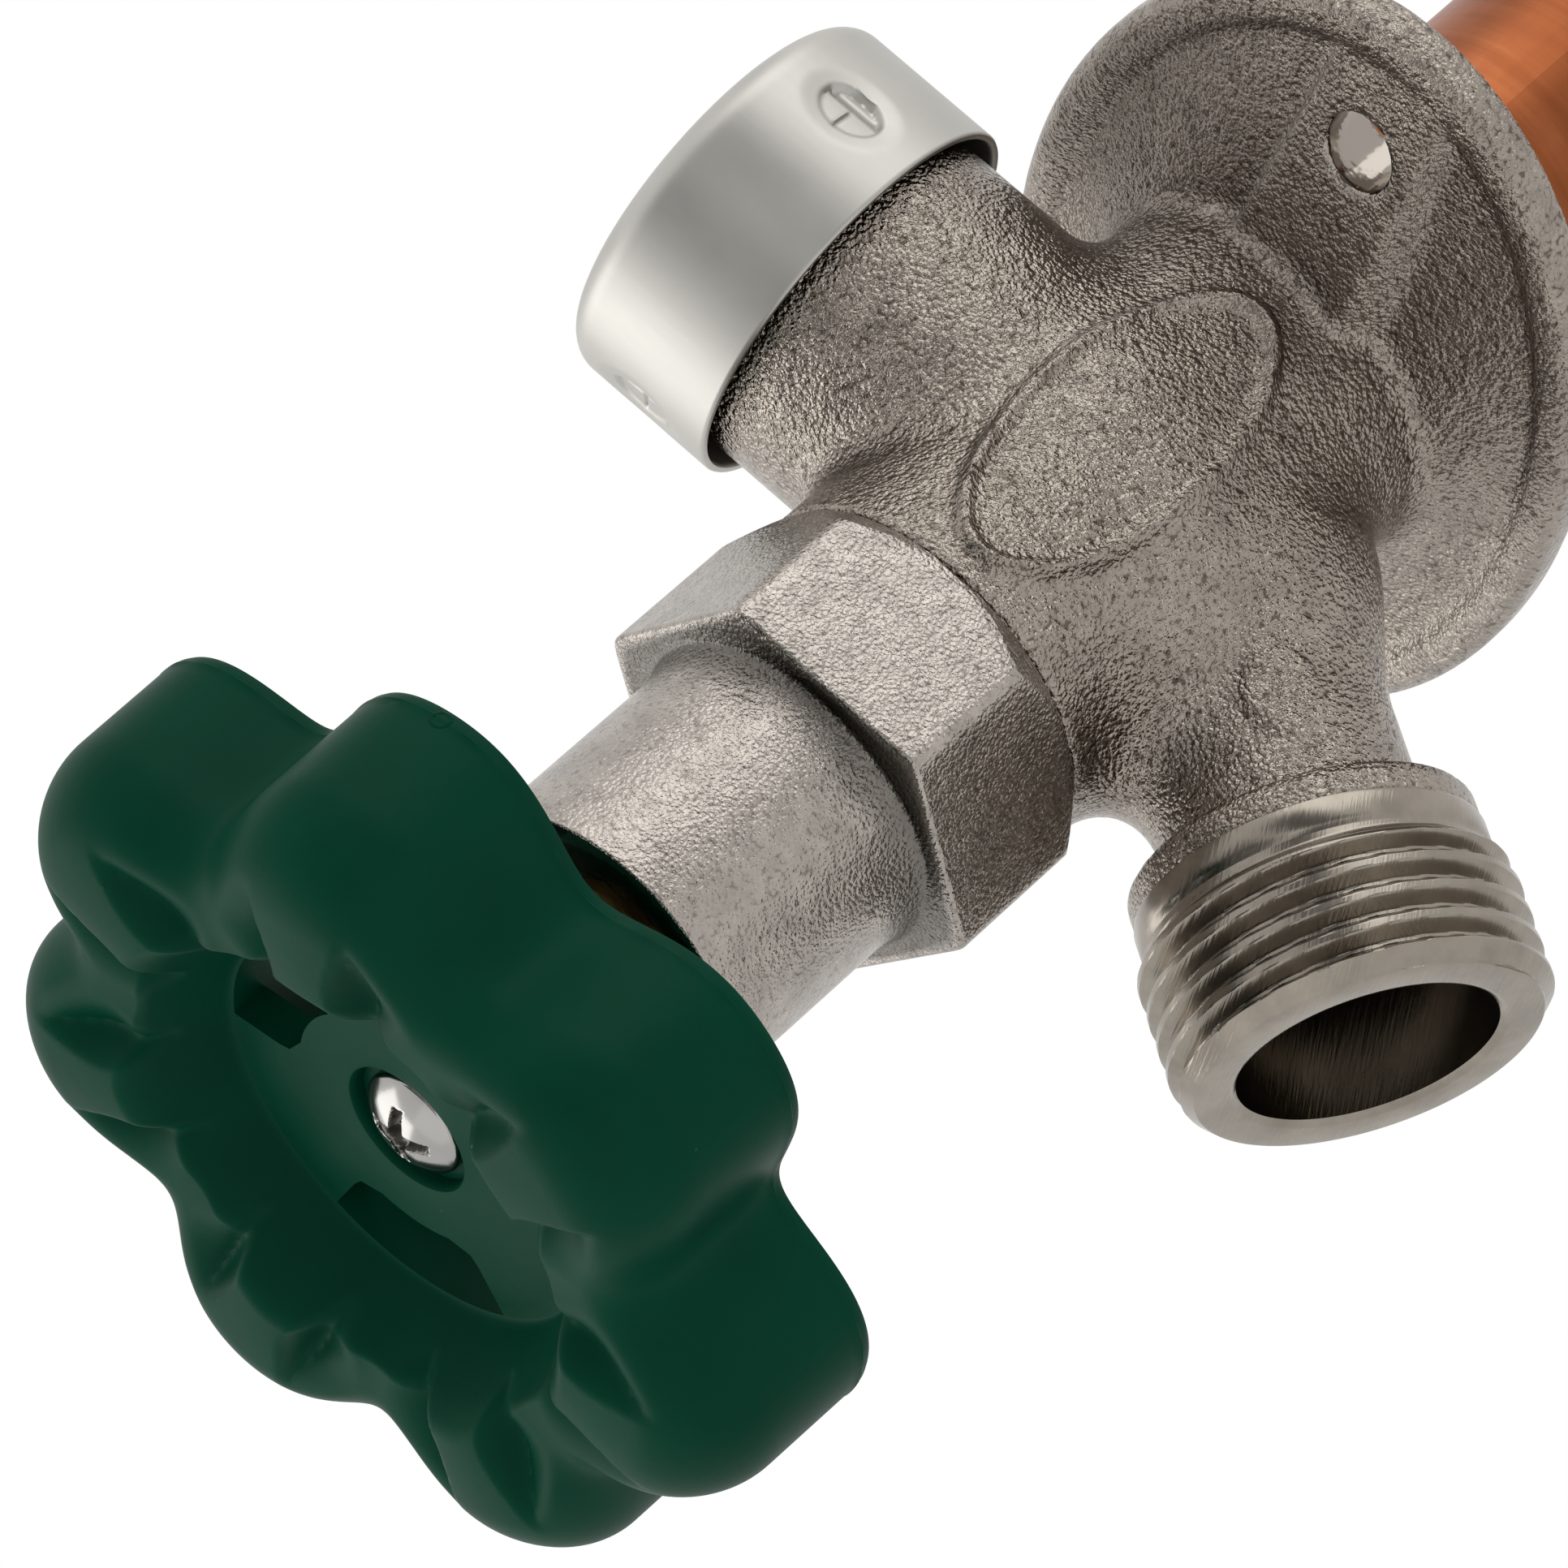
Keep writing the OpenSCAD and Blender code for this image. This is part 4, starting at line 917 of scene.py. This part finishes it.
# %% Helpers for finishes
class Finish(Graph):
    """A new material with its shader, and short calls for its patterns."""

    def __init__(self, name, colour, metallic, roughness):
        self.material = bpy.data.materials.new(name)
        self.material.use_nodes = True
        super().__init__(self.material.node_tree)
        self.shader = self.tree.nodes["Principled BSDF"]
        self.shader.inputs["Base Color"].default_value = (*colour, 1)
        self.shader.inputs["Metallic"].default_value = metallic
        self.shader.inputs["Roughness"].default_value = roughness
        self.place = self.add("ShaderNodeTexCoord").outputs["Object"]

    def join(self, output, name):
        """Joins an output to one of the shader's inputs."""
        self.put(output, self.shader.inputs[name])

    def noise(self, scale, detail=3.0, roughness=0.55, place=None):
        """Noise of that many lumps to the metre."""
        place = place or self.place
        node = self.add("ShaderNodeTexNoise", Vector=place, Scale=scale, Detail=detail, Roughness=roughness)
        return node.outputs["Fac"]

    def cells(self, scale, smooth):
        """Distance to the nearest of that many seeds to the metre, with soft edges between cells."""
        node = self.add("ShaderNodeTexVoronoi", Vector=self.place, Scale=scale)
        node.feature = "SMOOTH_F1"
        node.inputs["Smoothness"].default_value = smooth
        return node.outputs["Distance"]

    def blend(self, one, share, two, other):
        """A sum of two values, each times its own share."""
        return self.math("ADD", self.math("MULTIPLY", one, share), self.math("MULTIPLY", two, other))

    def ramp(self, value, *stops):
        """Colours at places along a value, blended between them."""
        node = self.add("ShaderNodeValToRGB", Fac=value)
        while len(node.color_ramp.elements) < len(stops):
            node.color_ramp.elements.new(0.5)
        for element, (place, colour) in zip(node.color_ramp.elements, stops):
            element.position = place
            element.color = (*colour, 1)
        return node.outputs["Color"]

    def attribute(self, name):
        """A number that the mesh stores at each point."""
        node = self.add("ShaderNodeAttribute")
        node.attribute_name = name
        return node.outputs["Fac"]

    def span(self, value, low, high, first=0.0, last=1.0):
        """Stretches a value from first and last to low and high, and holds it there beyond."""
        ends = {"From_Min": first, "From_Max": last, "To_Min": low, "To_Max": high}
        return self.add("ShaderNodeMapRange", Value=value, **ends).outputs[0]

    def mix(self, share, one, two, rule="MIX"):
        """Blends two colours by a share, or combines them by another rule."""
        node = self.tree.nodes.new("ShaderNodeMix")
        node.data_type = "RGBA"
        node.blend_type = rule
        for number, value in ((0, share), (6, one), (7, two)):
            self.put(value, node.inputs[number])
        return node.outputs[2]

    def bump(self, height, distance, strength=1.0, under=None):
        """Tilts the surface by a height map whose full range stands that many metres high."""
        node = self.add("ShaderNodeBump", Height=height, Distance=distance, Strength=strength)
        if under:
            self.put(under, node.inputs["Normal"])
        return node.outputs["Normal"]


print("materials that came with the frame", len(bpy.data.materials))

# %% [markdown]
# Cast nickel is plated over the skin that sand leaves: rounded grains about half a millimetre across, pits
# between them and slow waves over a few millimetres. A picture of sand would stretch over the fillets,
# while a pattern in space fits any shape. The grain's height tilts the surface, and the pits are darker and
# duller than the tops. The bonnet nut's skin is finer than the body's, and the recess before its snout is
# darkened with painted shade.

# %% Cast nickel
BARE_NICKEL = (0.33, 0.295, 0.26)
BARE_ROUGH = 0.14
# painted shade: the dark colour laid into the recess between the hexagon's front face and the snout
RECESS_SHADE = (0.10, 0.09, 0.08)
FLANGE_SAND = (-0.009, -0.004)


def cast_finish(name, grain, height, light, dark, rough, relief=0.0, recess=None):
    """Plated sand cast skin with that many grains to the metre and that grain height in metres. Relief is the
    height of coarser sand near the wall, and recess names an attribute that says where painted shade darkens
    the colour."""
    f = Finish(name, light, 1.0, rough)
    lumps = f.cells(grain, 0.35)
    small = f.cells(grain * 2.2, 0.3)
    slow = f.noise(grain * 0.16, 3.0, 0.5)
    coarse = f.noise(grain * 0.42, 3.0, 0.6)
    skin = f.math("SUBTRACT", f.math("MULTIPLY", coarse, 0.9), f.blend(lumps, 0.9, small, 0.35))
    pits = f.blend(lumps, 0.8, coarse, 0.6)
    half = tuple(0.75 * l + 0.25 * d for l, d in zip(light, dark))
    tone = f.ramp(pits, (0.50, light), (0.86, half), (0.98, dark))
    wander = f.ramp(slow, (0.35, grey(0.82)), (0.65, grey(1.0)))
    colour = f.mix(1.0, tone, wander, "MULTIPLY")
    shine = f.span(coarse, rough - 0.06, rough + 0.12)
    if recess:
        # painted shade: darkens the recess before the snout, where the hexagon's front face lies in shade
        colour = f.mix(f.math("MULTIPLY", f.attribute(recess), 0.8), colour, RECESS_SHADE)
    bare = f.attribute("machined")
    skinned = f.math("SUBTRACT", 1.0, bare)
    colour = f.mix(bare, colour, BARE_NICKEL)
    shine = f.blend(shine, skinned, bare, BARE_ROUGH)
    normal = f.bump(slow, 3.0 * height, 0.3, f.bump(f.math("MULTIPLY", skin, skinned), height))
    if relief:
        depth = f.add("ShaderNodeSeparateXYZ", Vector=f.place).outputs["Y"]
        near_wall = f.math("MULTIPLY", f.span(depth, 0.0, 1.0, *FLANGE_SAND), skinned)
        sand = f.math("SUBTRACT", f.noise(0.5 * grain, 3.0, 0.6), 0.5)
        normal = f.bump(f.math("MULTIPLY", sand, near_wall), relief, 1.0, normal)
    f.join(colour, "Base Color")
    f.join(shine, "Roughness")
    f.join(normal, "Normal")
    return f.material


body_tops, body_pits = (0.37, 0.325, 0.28), (0.145, 0.12, 0.098)
nut_tops, nut_pits = (0.435, 0.396, 0.357), (0.27, 0.242, 0.214)
body_cast = cast_finish("cast_nickel_body", 2600.0, 0.00016, body_tops, body_pits, 0.20, relief=0.00022)
nut_cast = cast_finish("cast_nickel_nut", 3100.0, 0.00008, nut_tops, nut_pits, 0.24, recess="recess")
casting.data.materials.append(body_cast)
bonnet_nut.data.materials.append(nut_cast)
print("cast finishes on", casting.name, "and", bonnet_nut.name)

# %% [markdown]
# Turned nickel shows the tool's path: very fine rings round the axis. A Mapping node turns the outlet's
# axis upright, and a noise stretched along the rings' plane gives lines of uneven strength.

# %% Turned nickel
def turned_finish(name, colour, rough, axis_turn, centre, rings=5200.0, height=0.000012):
    """Metal with fine rings round an axis: noise that changes quickly along the axis and slowly across it."""
    f = Finish(name, colour, 1.0, rough)
    shifted = f.add("ShaderNodeMapping", Vector=f.place, Location=centre)
    spun = f.add("ShaderNodeMapping", Vector=shifted.outputs[0], Rotation=axis_turn).outputs[0]
    squeezed = f.add("ShaderNodeMapping", Vector=spun, Scale=(0.06, 0.06, 1.0)).outputs[0]
    lines = f.noise(rings, 2.0, 0.5, squeezed)
    bands = f.noise(rings * 0.12, 2.0, 0.5, squeezed)
    stain = f.noise(260.0, 4.0, 0.6)
    tone = f.ramp(stain, (0.35, shaded(colour, 0.80)), (0.62, colour))
    f.join(tone, "Base Color")
    f.join(f.span(bands, rough - 0.05, rough + 0.09), "Roughness")
    f.join(f.bump(lines, height), "Normal")
    return f.material


outlet_spin = (-OUTLET_LEAN, 0.0, 0.0)
outlet_foot = (0.0, OUTLET_STATION * MM, 0.0)
turned_nickel = (0.30, 0.268, 0.226)
hose_finish = turned_finish("turned_nickel", turned_nickel, 0.22, outlet_spin, outlet_foot, height=0.00003)
hose_end.data.materials.append(hose_finish)
print("turned finish on", hose_end.name)

# %% [markdown]
# The cap and the screw are plated and rubbed a little by handling. Both are one recipe: a noise drawn out
# along the upright axis for the rub marks, and a slow cloud that makes the shine uneven. An even roughness
# could stand for it, but then the cap's wide skirt looks like grey paper.

# %% Satin and bright plating
def satin_finish(name, colour, rough):
    """Plated sheet with a soft satin grain, faint rub marks and slightly uneven shine."""
    f = Finish(name, colour, 1.0, rough)
    stretched = f.add("ShaderNodeMapping", Vector=f.place, Scale=(1.0, 1.0, 0.12)).outputs[0]
    rub = f.noise(1600.0, 3.0, 0.6, stretched)
    cloud = f.noise(140.0, 4.0, 0.55)
    f.join(f.ramp(cloud, (0.3, shaded(colour, 0.90)), (0.7, colour)), "Base Color")
    f.join(f.span(f.blend(rub, 0.35, cloud, 0.65), rough - 0.07, rough + 0.09), "Roughness")
    f.join(f.bump(rub, 0.000006), "Normal")
    return f.material


cap_finish = satin_finish("satin_cap", (0.53, 0.515, 0.48), 0.46)
vent_cap.data.materials.append(cap_finish)
screw_finish = satin_finish("bright_screw", (0.38, 0.37, 0.35), 0.16)
handle_screw.data.materials.append(screw_finish)
print("satin finishes on", vent_cap.name, "and", handle_screw.name)

# %% [markdown]
# The handle is a dark green moulding. Its colour is almost even, with a faint cloudiness, a satin skin and
# a scatter of tiny pale specks of dust and handling marks. A small ring on the rim is left from the mould's
# gate: a bump where the distance to one point is just right, which is simpler than a ring in the mesh.

# %% Green moulding
GATE_MARK = (0.0313, -0.0860, 0.0101)


def moulded_finish(name, colour, pale, rough):
    """Moulded plastic: cloudy colour, fine skin and rare specks where a cell's middle is very near."""
    f = Finish(name, colour, 0.0, rough)
    cloud = f.noise(120.0, 3.0, 0.5)
    skin = f.noise(5200.0, 2.0, 0.5)
    wave = f.noise(240.0, 2.0, 0.5)
    specks = f.add("ShaderNodeTexVoronoi", Vector=f.place, Scale=330.0).outputs["Distance"]
    dust = f.ramp(specks, (0.035, grey(1.0)), (0.055, grey(0.0)))
    rare = f.ramp(f.noise(170.0, 2.0, 0.5), (0.56, grey(0.0)), (0.62, grey(1.0)))
    share = f.math("MULTIPLY", f.math("MULTIPLY", dust, rare), 0.5)
    base = f.ramp(cloud, (0.3, shaded(colour, 0.86)), (0.7, colour))
    f.join(f.mix(share, base, pale), "Base Color")
    f.join(f.span(cloud, rough - 0.04, rough + 0.05), "Roughness")
    gate = f.tree.nodes.new("ShaderNodeVectorMath")
    gate.operation = "DISTANCE"
    f.put(f.place, gate.inputs[0])
    f.put(GATE_MARK, gate.inputs[1])
    near = f.math("MULTIPLY", gate.outputs["Value"], 500.0)
    ring = f.ramp(near, (0.22, grey(0.0)), (0.32, grey(1.0)), (0.42, grey(0.0)))
    f.join(f.bump(ring, 0.00012, 1.0, f.bump(wave, 0.00006, 0.5, f.bump(skin, 0.000012))), "Normal")
    f.shader.inputs["Specular IOR Level"].default_value = 0.04
    return f.material


green = moulded_finish("green_moulding", (0.0012, 0.049, 0.0265), (0.12, 0.20, 0.15), 0.42)
handle.data.materials.append(green)
print("moulded finish on", handle.name)

# %% [markdown]
# The nodes that keep their solid shape get finishes as well: drawn copper, turned brass, solder, steel,
# rubber, pressed fibre and white plastic. Several share one recipe with other numbers.

# %% Finishes of the solids that stay
def drawn_copper():
    """Copper tube with long drawing streaks along the main axis and patches of brown tarnish."""
    f = Finish("copper", (0.70, 0.29, 0.13), 1.0, 0.3)
    stretched = f.add("ShaderNodeMapping", Vector=f.place, Scale=(1.0, 0.05, 1.0)).outputs[0]
    ringed = f.add("ShaderNodeMapping", Vector=f.place, Scale=(0.08, 1.0, 0.08)).outputs[0]
    streak = f.noise(900.0, 3.0, 0.6, stretched)
    band = f.noise(420.0, 3.0, 0.6, ringed)
    patch = f.noise(55.0, 4.0, 0.6)
    blend = f.blend(band, 0.5, patch, 0.5)
    brown, red, bright = (0.17, 0.047, 0.016), (0.26, 0.076, 0.027), (0.38, 0.125, 0.05)
    f.join(f.ramp(blend, (0.35, brown), (0.55, red), (0.72, bright)), "Base Color")
    f.join(f.span(streak, 0.24, 0.42), "Roughness")
    f.join(f.bump(streak, 0.00001), "Normal")
    return f.material


def plain_finish(name, colour, metallic, rough, scale=300.0, shade=0.75, height=0.00001):
    """A quiet finish: cloudy tone, uneven shine and a fine skin."""
    f = Finish(name, colour, metallic, rough)
    cloud = f.noise(scale, 4.0, 0.6)
    skin = f.noise(scale * 9, 2.0, 0.5)
    f.join(f.ramp(cloud, (0.3, shaded(colour, shade)), (0.7, colour)), "Base Color")
    f.join(f.span(cloud, rough + 0.06, rough - 0.06), "Roughness")
    f.join(f.bump(skin, height), "Normal")
    return f.material


main_spin = (np.pi / 2, 0.0, 0.0)
brass = turned_finish("bare_brass", (0.45, 0.31, 0.13), 0.26, main_spin, (0.0, 0.0, 0.0), 3600.0)
finishes = {
    "copper": drawn_copper(),
    "bare_brass": brass,
    "solder": plain_finish("solder", (0.60, 0.59, 0.56), 1.0, 0.38, 600.0, 0.7, 0.00006),
    "spring_steel": plain_finish("spring_steel", (0.52, 0.52, 0.51), 1.0, 0.25),
    "black_rubber": plain_finish("black_rubber", (0.024, 0.024, 0.024), 0.0, 0.6),
    "fibre": plain_finish("fibre", (0.24, 0.13, 0.075), 0.0, 0.75, 900.0, 0.6, 0.00005),
    "white_plastic": plain_finish("white_plastic", (0.78, 0.76, 0.70), 0.0, 0.42, 200.0, 0.92),
    "satin_cap": cap_finish,
    "bright_screw": screw_finish,
    "cast_nickel": nut_cast,
    "green_moulding": green,
}
for part in frame["record"]["subparts"]:
    node = frame["nodes"][part["node"]]
    for holder in node.material_slots:
        holder.material = finishes[part["material_slot"]]

# %% [markdown]
# The studio begins with a pale floor under the tap, which keeps its shadow. Polished metal would mirror
# that floor as grey, while the picture being matched has white below as well as above, so to rays that come
# from a mirror or through glass the floor is white.

# %% The floor
FLOOR = -0.30
FLOOR_HALF = 3.0


def studio_floor():
    """A large pale plane, as a grid of two by two points. Metal and glass see it as white as the world, while
    the camera sees its own colour and the shadow on it."""
    corner = FLOOR_HALF * np.array([[-1, -1], [1, -1], [1, 1], [-1, 1]])
    mesh = bpy.data.meshes.new("studio_floor")
    mesh.from_pydata(np.column_stack([corner, np.full(4, FLOOR)]).tolist(), [], [[0, 1, 2, 3]])
    floor = bpy.data.objects.new("studio_floor", mesh)
    bpy.context.scene.collection.objects.link(floor)
    f = Finish("pale_floor", grey(0.8), 0.0, 0.7)
    f.join(f.ramp(f.noise(3.0), (0.3, grey(0.78)), (0.7, grey(0.82))), "Base Color")
    mirrored = f.seen_by("Is Glossy Ray", "Is Transmission Ray")
    white = f.add("ShaderNodeEmission", Color=grey(1.0), Strength=1.0).outputs[0]
    surface = f.choose(mirrored, f.shader.outputs[0], white)
    f.put(surface, f.tree.nodes["Material Output"].inputs["Surface"])
    mesh.materials.append(f.material)
    return floor


floor = studio_floor()
print(floor.name, "lies", -FLOOR, "m below the main axis")

# %% [markdown]
# The world is a plain white round everything, which the camera and the metal see. Soft light from all sides
# would also come from it at full strength and wash out the shapes, so light that falls on dull surfaces is
# given a lower strength by asking which kind of ray is looking.

# %% The world
def studio_world(fill):
    """A world that is white to the camera and to reflections, and gives soft light of the fill strength."""
    world = bpy.data.worlds.new("studio_world")
    bpy.context.scene.world = world
    world.use_nodes = True
    world.node_tree.nodes.clear()
    g = Graph(world.node_tree)
    seen = g.seen_by("Is Camera Ray", "Is Glossy Ray", "Is Transmission Ray")
    white = g.add("ShaderNodeBackground", Color=grey(1.0), Strength=1.0).outputs[0]
    soft = g.add("ShaderNodeBackground", Color=grey(1.0), Strength=fill).outputs[0]
    g.put(g.choose(seen, soft, white), g.add("ShaderNodeOutputWorld").inputs["Surface"])
    return world


world = studio_world(0.62)
print(world.name, "has", len(world.node_tree.nodes), "nodes")

# %% [markdown]
# Three square lamps shape the tap: a key high up behind it, one in front on the side away from the camera,
# and a weak one near the floor that lifts what would lie in the dark. A lamp shines along its own minus z,
# so its axes are worked out from where it stands and what it looks at.

# %% The lamps
def soft_lamp(name, place, aim, size, watts):
    """A square area lamp with sides of that size at a place, aimed at a point."""
    data = bpy.data.lights.new(name, "AREA")
    data.shape = "RECTANGLE"
    data.size = data.size_y = size
    data.energy = watts
    lamp = bpy.data.objects.new(name, data)
    back = np.array(place, float) - np.array(aim, float)
    back /= np.linalg.norm(back)
    side = np.cross((0.0, 0.0, 1.0), back)
    side /= np.linalg.norm(side)
    up = np.cross(back, side)
    turned = np.eye(4)
    turned[:3, :3] = np.column_stack([side, up, back])
    turned[:3, 3] = place
    lamp.matrix_world = Matrix(turned.tolist())
    bpy.context.scene.collection.objects.link(lamp)
    return lamp


soft_lamp("key_lamp", (0.85, 0.55, 0.60), (0.0, -0.04, 0.0), 1.0, 3.8)
soft_lamp("front_lamp", (-0.60, -0.90, 0.45), (0.0, -0.05, 0.0), 0.9, 4.2)
soft_lamp("table_lamp", (0.15, -0.35, -0.29), (0.0, -0.05, 0.0), 0.9, 0.5)
print("lamps", *[round(lamp.energy, 1) for lamp in bpy.data.lights], "watts")

# %% [markdown]
# Plated metal shows mostly what it mirrors, and in a white room it would be white all over. Photographers
# stand cards beside the camera for that, and so does this scene: two curved grey sheets give each round
# piece a darker side. They change nothing but reflections.

# %% Grey cards
CARD_POINTS = 13
CARD_RISE = (-45.0, 40.0)
CARD_DISTANCE = 0.95
CARD_TONE = 0.22


def grey_card(name, first, last):
    """A curved card beside the camera, part of a ball round the tap between two bearings in degrees. It only
    dims what metal mirrors, so the camera and the lamps look through it."""
    bearing = np.radians(np.linspace(first, last, CARD_POINTS))[None, :]
    rise = np.radians(np.linspace(*CARD_RISE, CARD_POINTS))[:, None]
    level = np.cos(rise)
    ball = np.broadcast_arrays(level * np.cos(bearing), level * np.sin(bearing), np.sin(rise))
    points = CARD_DISTANCE * np.stack(ball, -1)
    number = np.arange(CARD_POINTS**2).reshape(CARD_POINTS, CARD_POINTS)
    quads = np.stack([number[:-1, :-1], number[1:, :-1], number[1:, 1:], number[:-1, 1:]], -1).reshape(-1, 4)
    mesh = bpy.data.meshes.new(name)
    mesh.from_pydata(points.reshape(-1, 3).tolist(), [], quads.tolist())
    card = bpy.data.objects.new(name, mesh)
    bpy.context.scene.collection.objects.link(card)
    f = Finish(name, grey(CARD_TONE), 0.0, 0.8)
    f.join(f.ramp(f.noise(4.0), (0.3, grey(0.95 * CARD_TONE)), (0.7, grey(1.05 * CARD_TONE))), "Base Color")
    mesh.materials.append(f.material)
    card.visible_camera = False
    card.visible_diffuse = False
    card.visible_shadow = False
    return card


grey_card("camera_card_left", -72.0, -37.0)
grey_card("camera_card_right", -22.0, 8.0)
print("cards of", CARD_POINTS**2, "points, from", *CARD_RISE, "degrees of rise")

# %% [markdown]
# The camera stands below the tap's height and looks up along a long lens, turned on its side a little, so
# the handle comes forward at the lower left as it does in the picture being matched. Its lens is given in
# pixels of that picture, and its axes and place as the columns of a matrix.

# %% The camera
LENS_PIXELS = 10673.13
FRAME_PIXELS = 1932
camera_data = bpy.data.cameras.new("photo_camera")
camera_data.sensor_width = 36.0
camera_data.lens = LENS_PIXELS * camera_data.sensor_width / FRAME_PIXELS
camera_data.clip_start = 0.01
camera = bpy.data.objects.new("photo_camera", camera_data)
camera_axes = np.eye(4)
camera_axes[:3, 0] = (0.1774, 0.65782, -0.73198)
camera_axes[:3, 1] = (0.50043, 0.58015, 0.64265)
camera_axes[:3, 2] = (0.84741, -0.48031, -0.22628)
camera_axes[:3, 3] = (0.49347, -0.33510, -0.13112)
camera.matrix_world = Matrix(camera_axes.tolist())
bpy.context.scene.collection.objects.link(camera)
bpy.context.scene.camera = camera
bpy.context.scene.view_settings.view_transform = "Standard"
print("camera lens", round(camera_data.lens, 1), "mm")
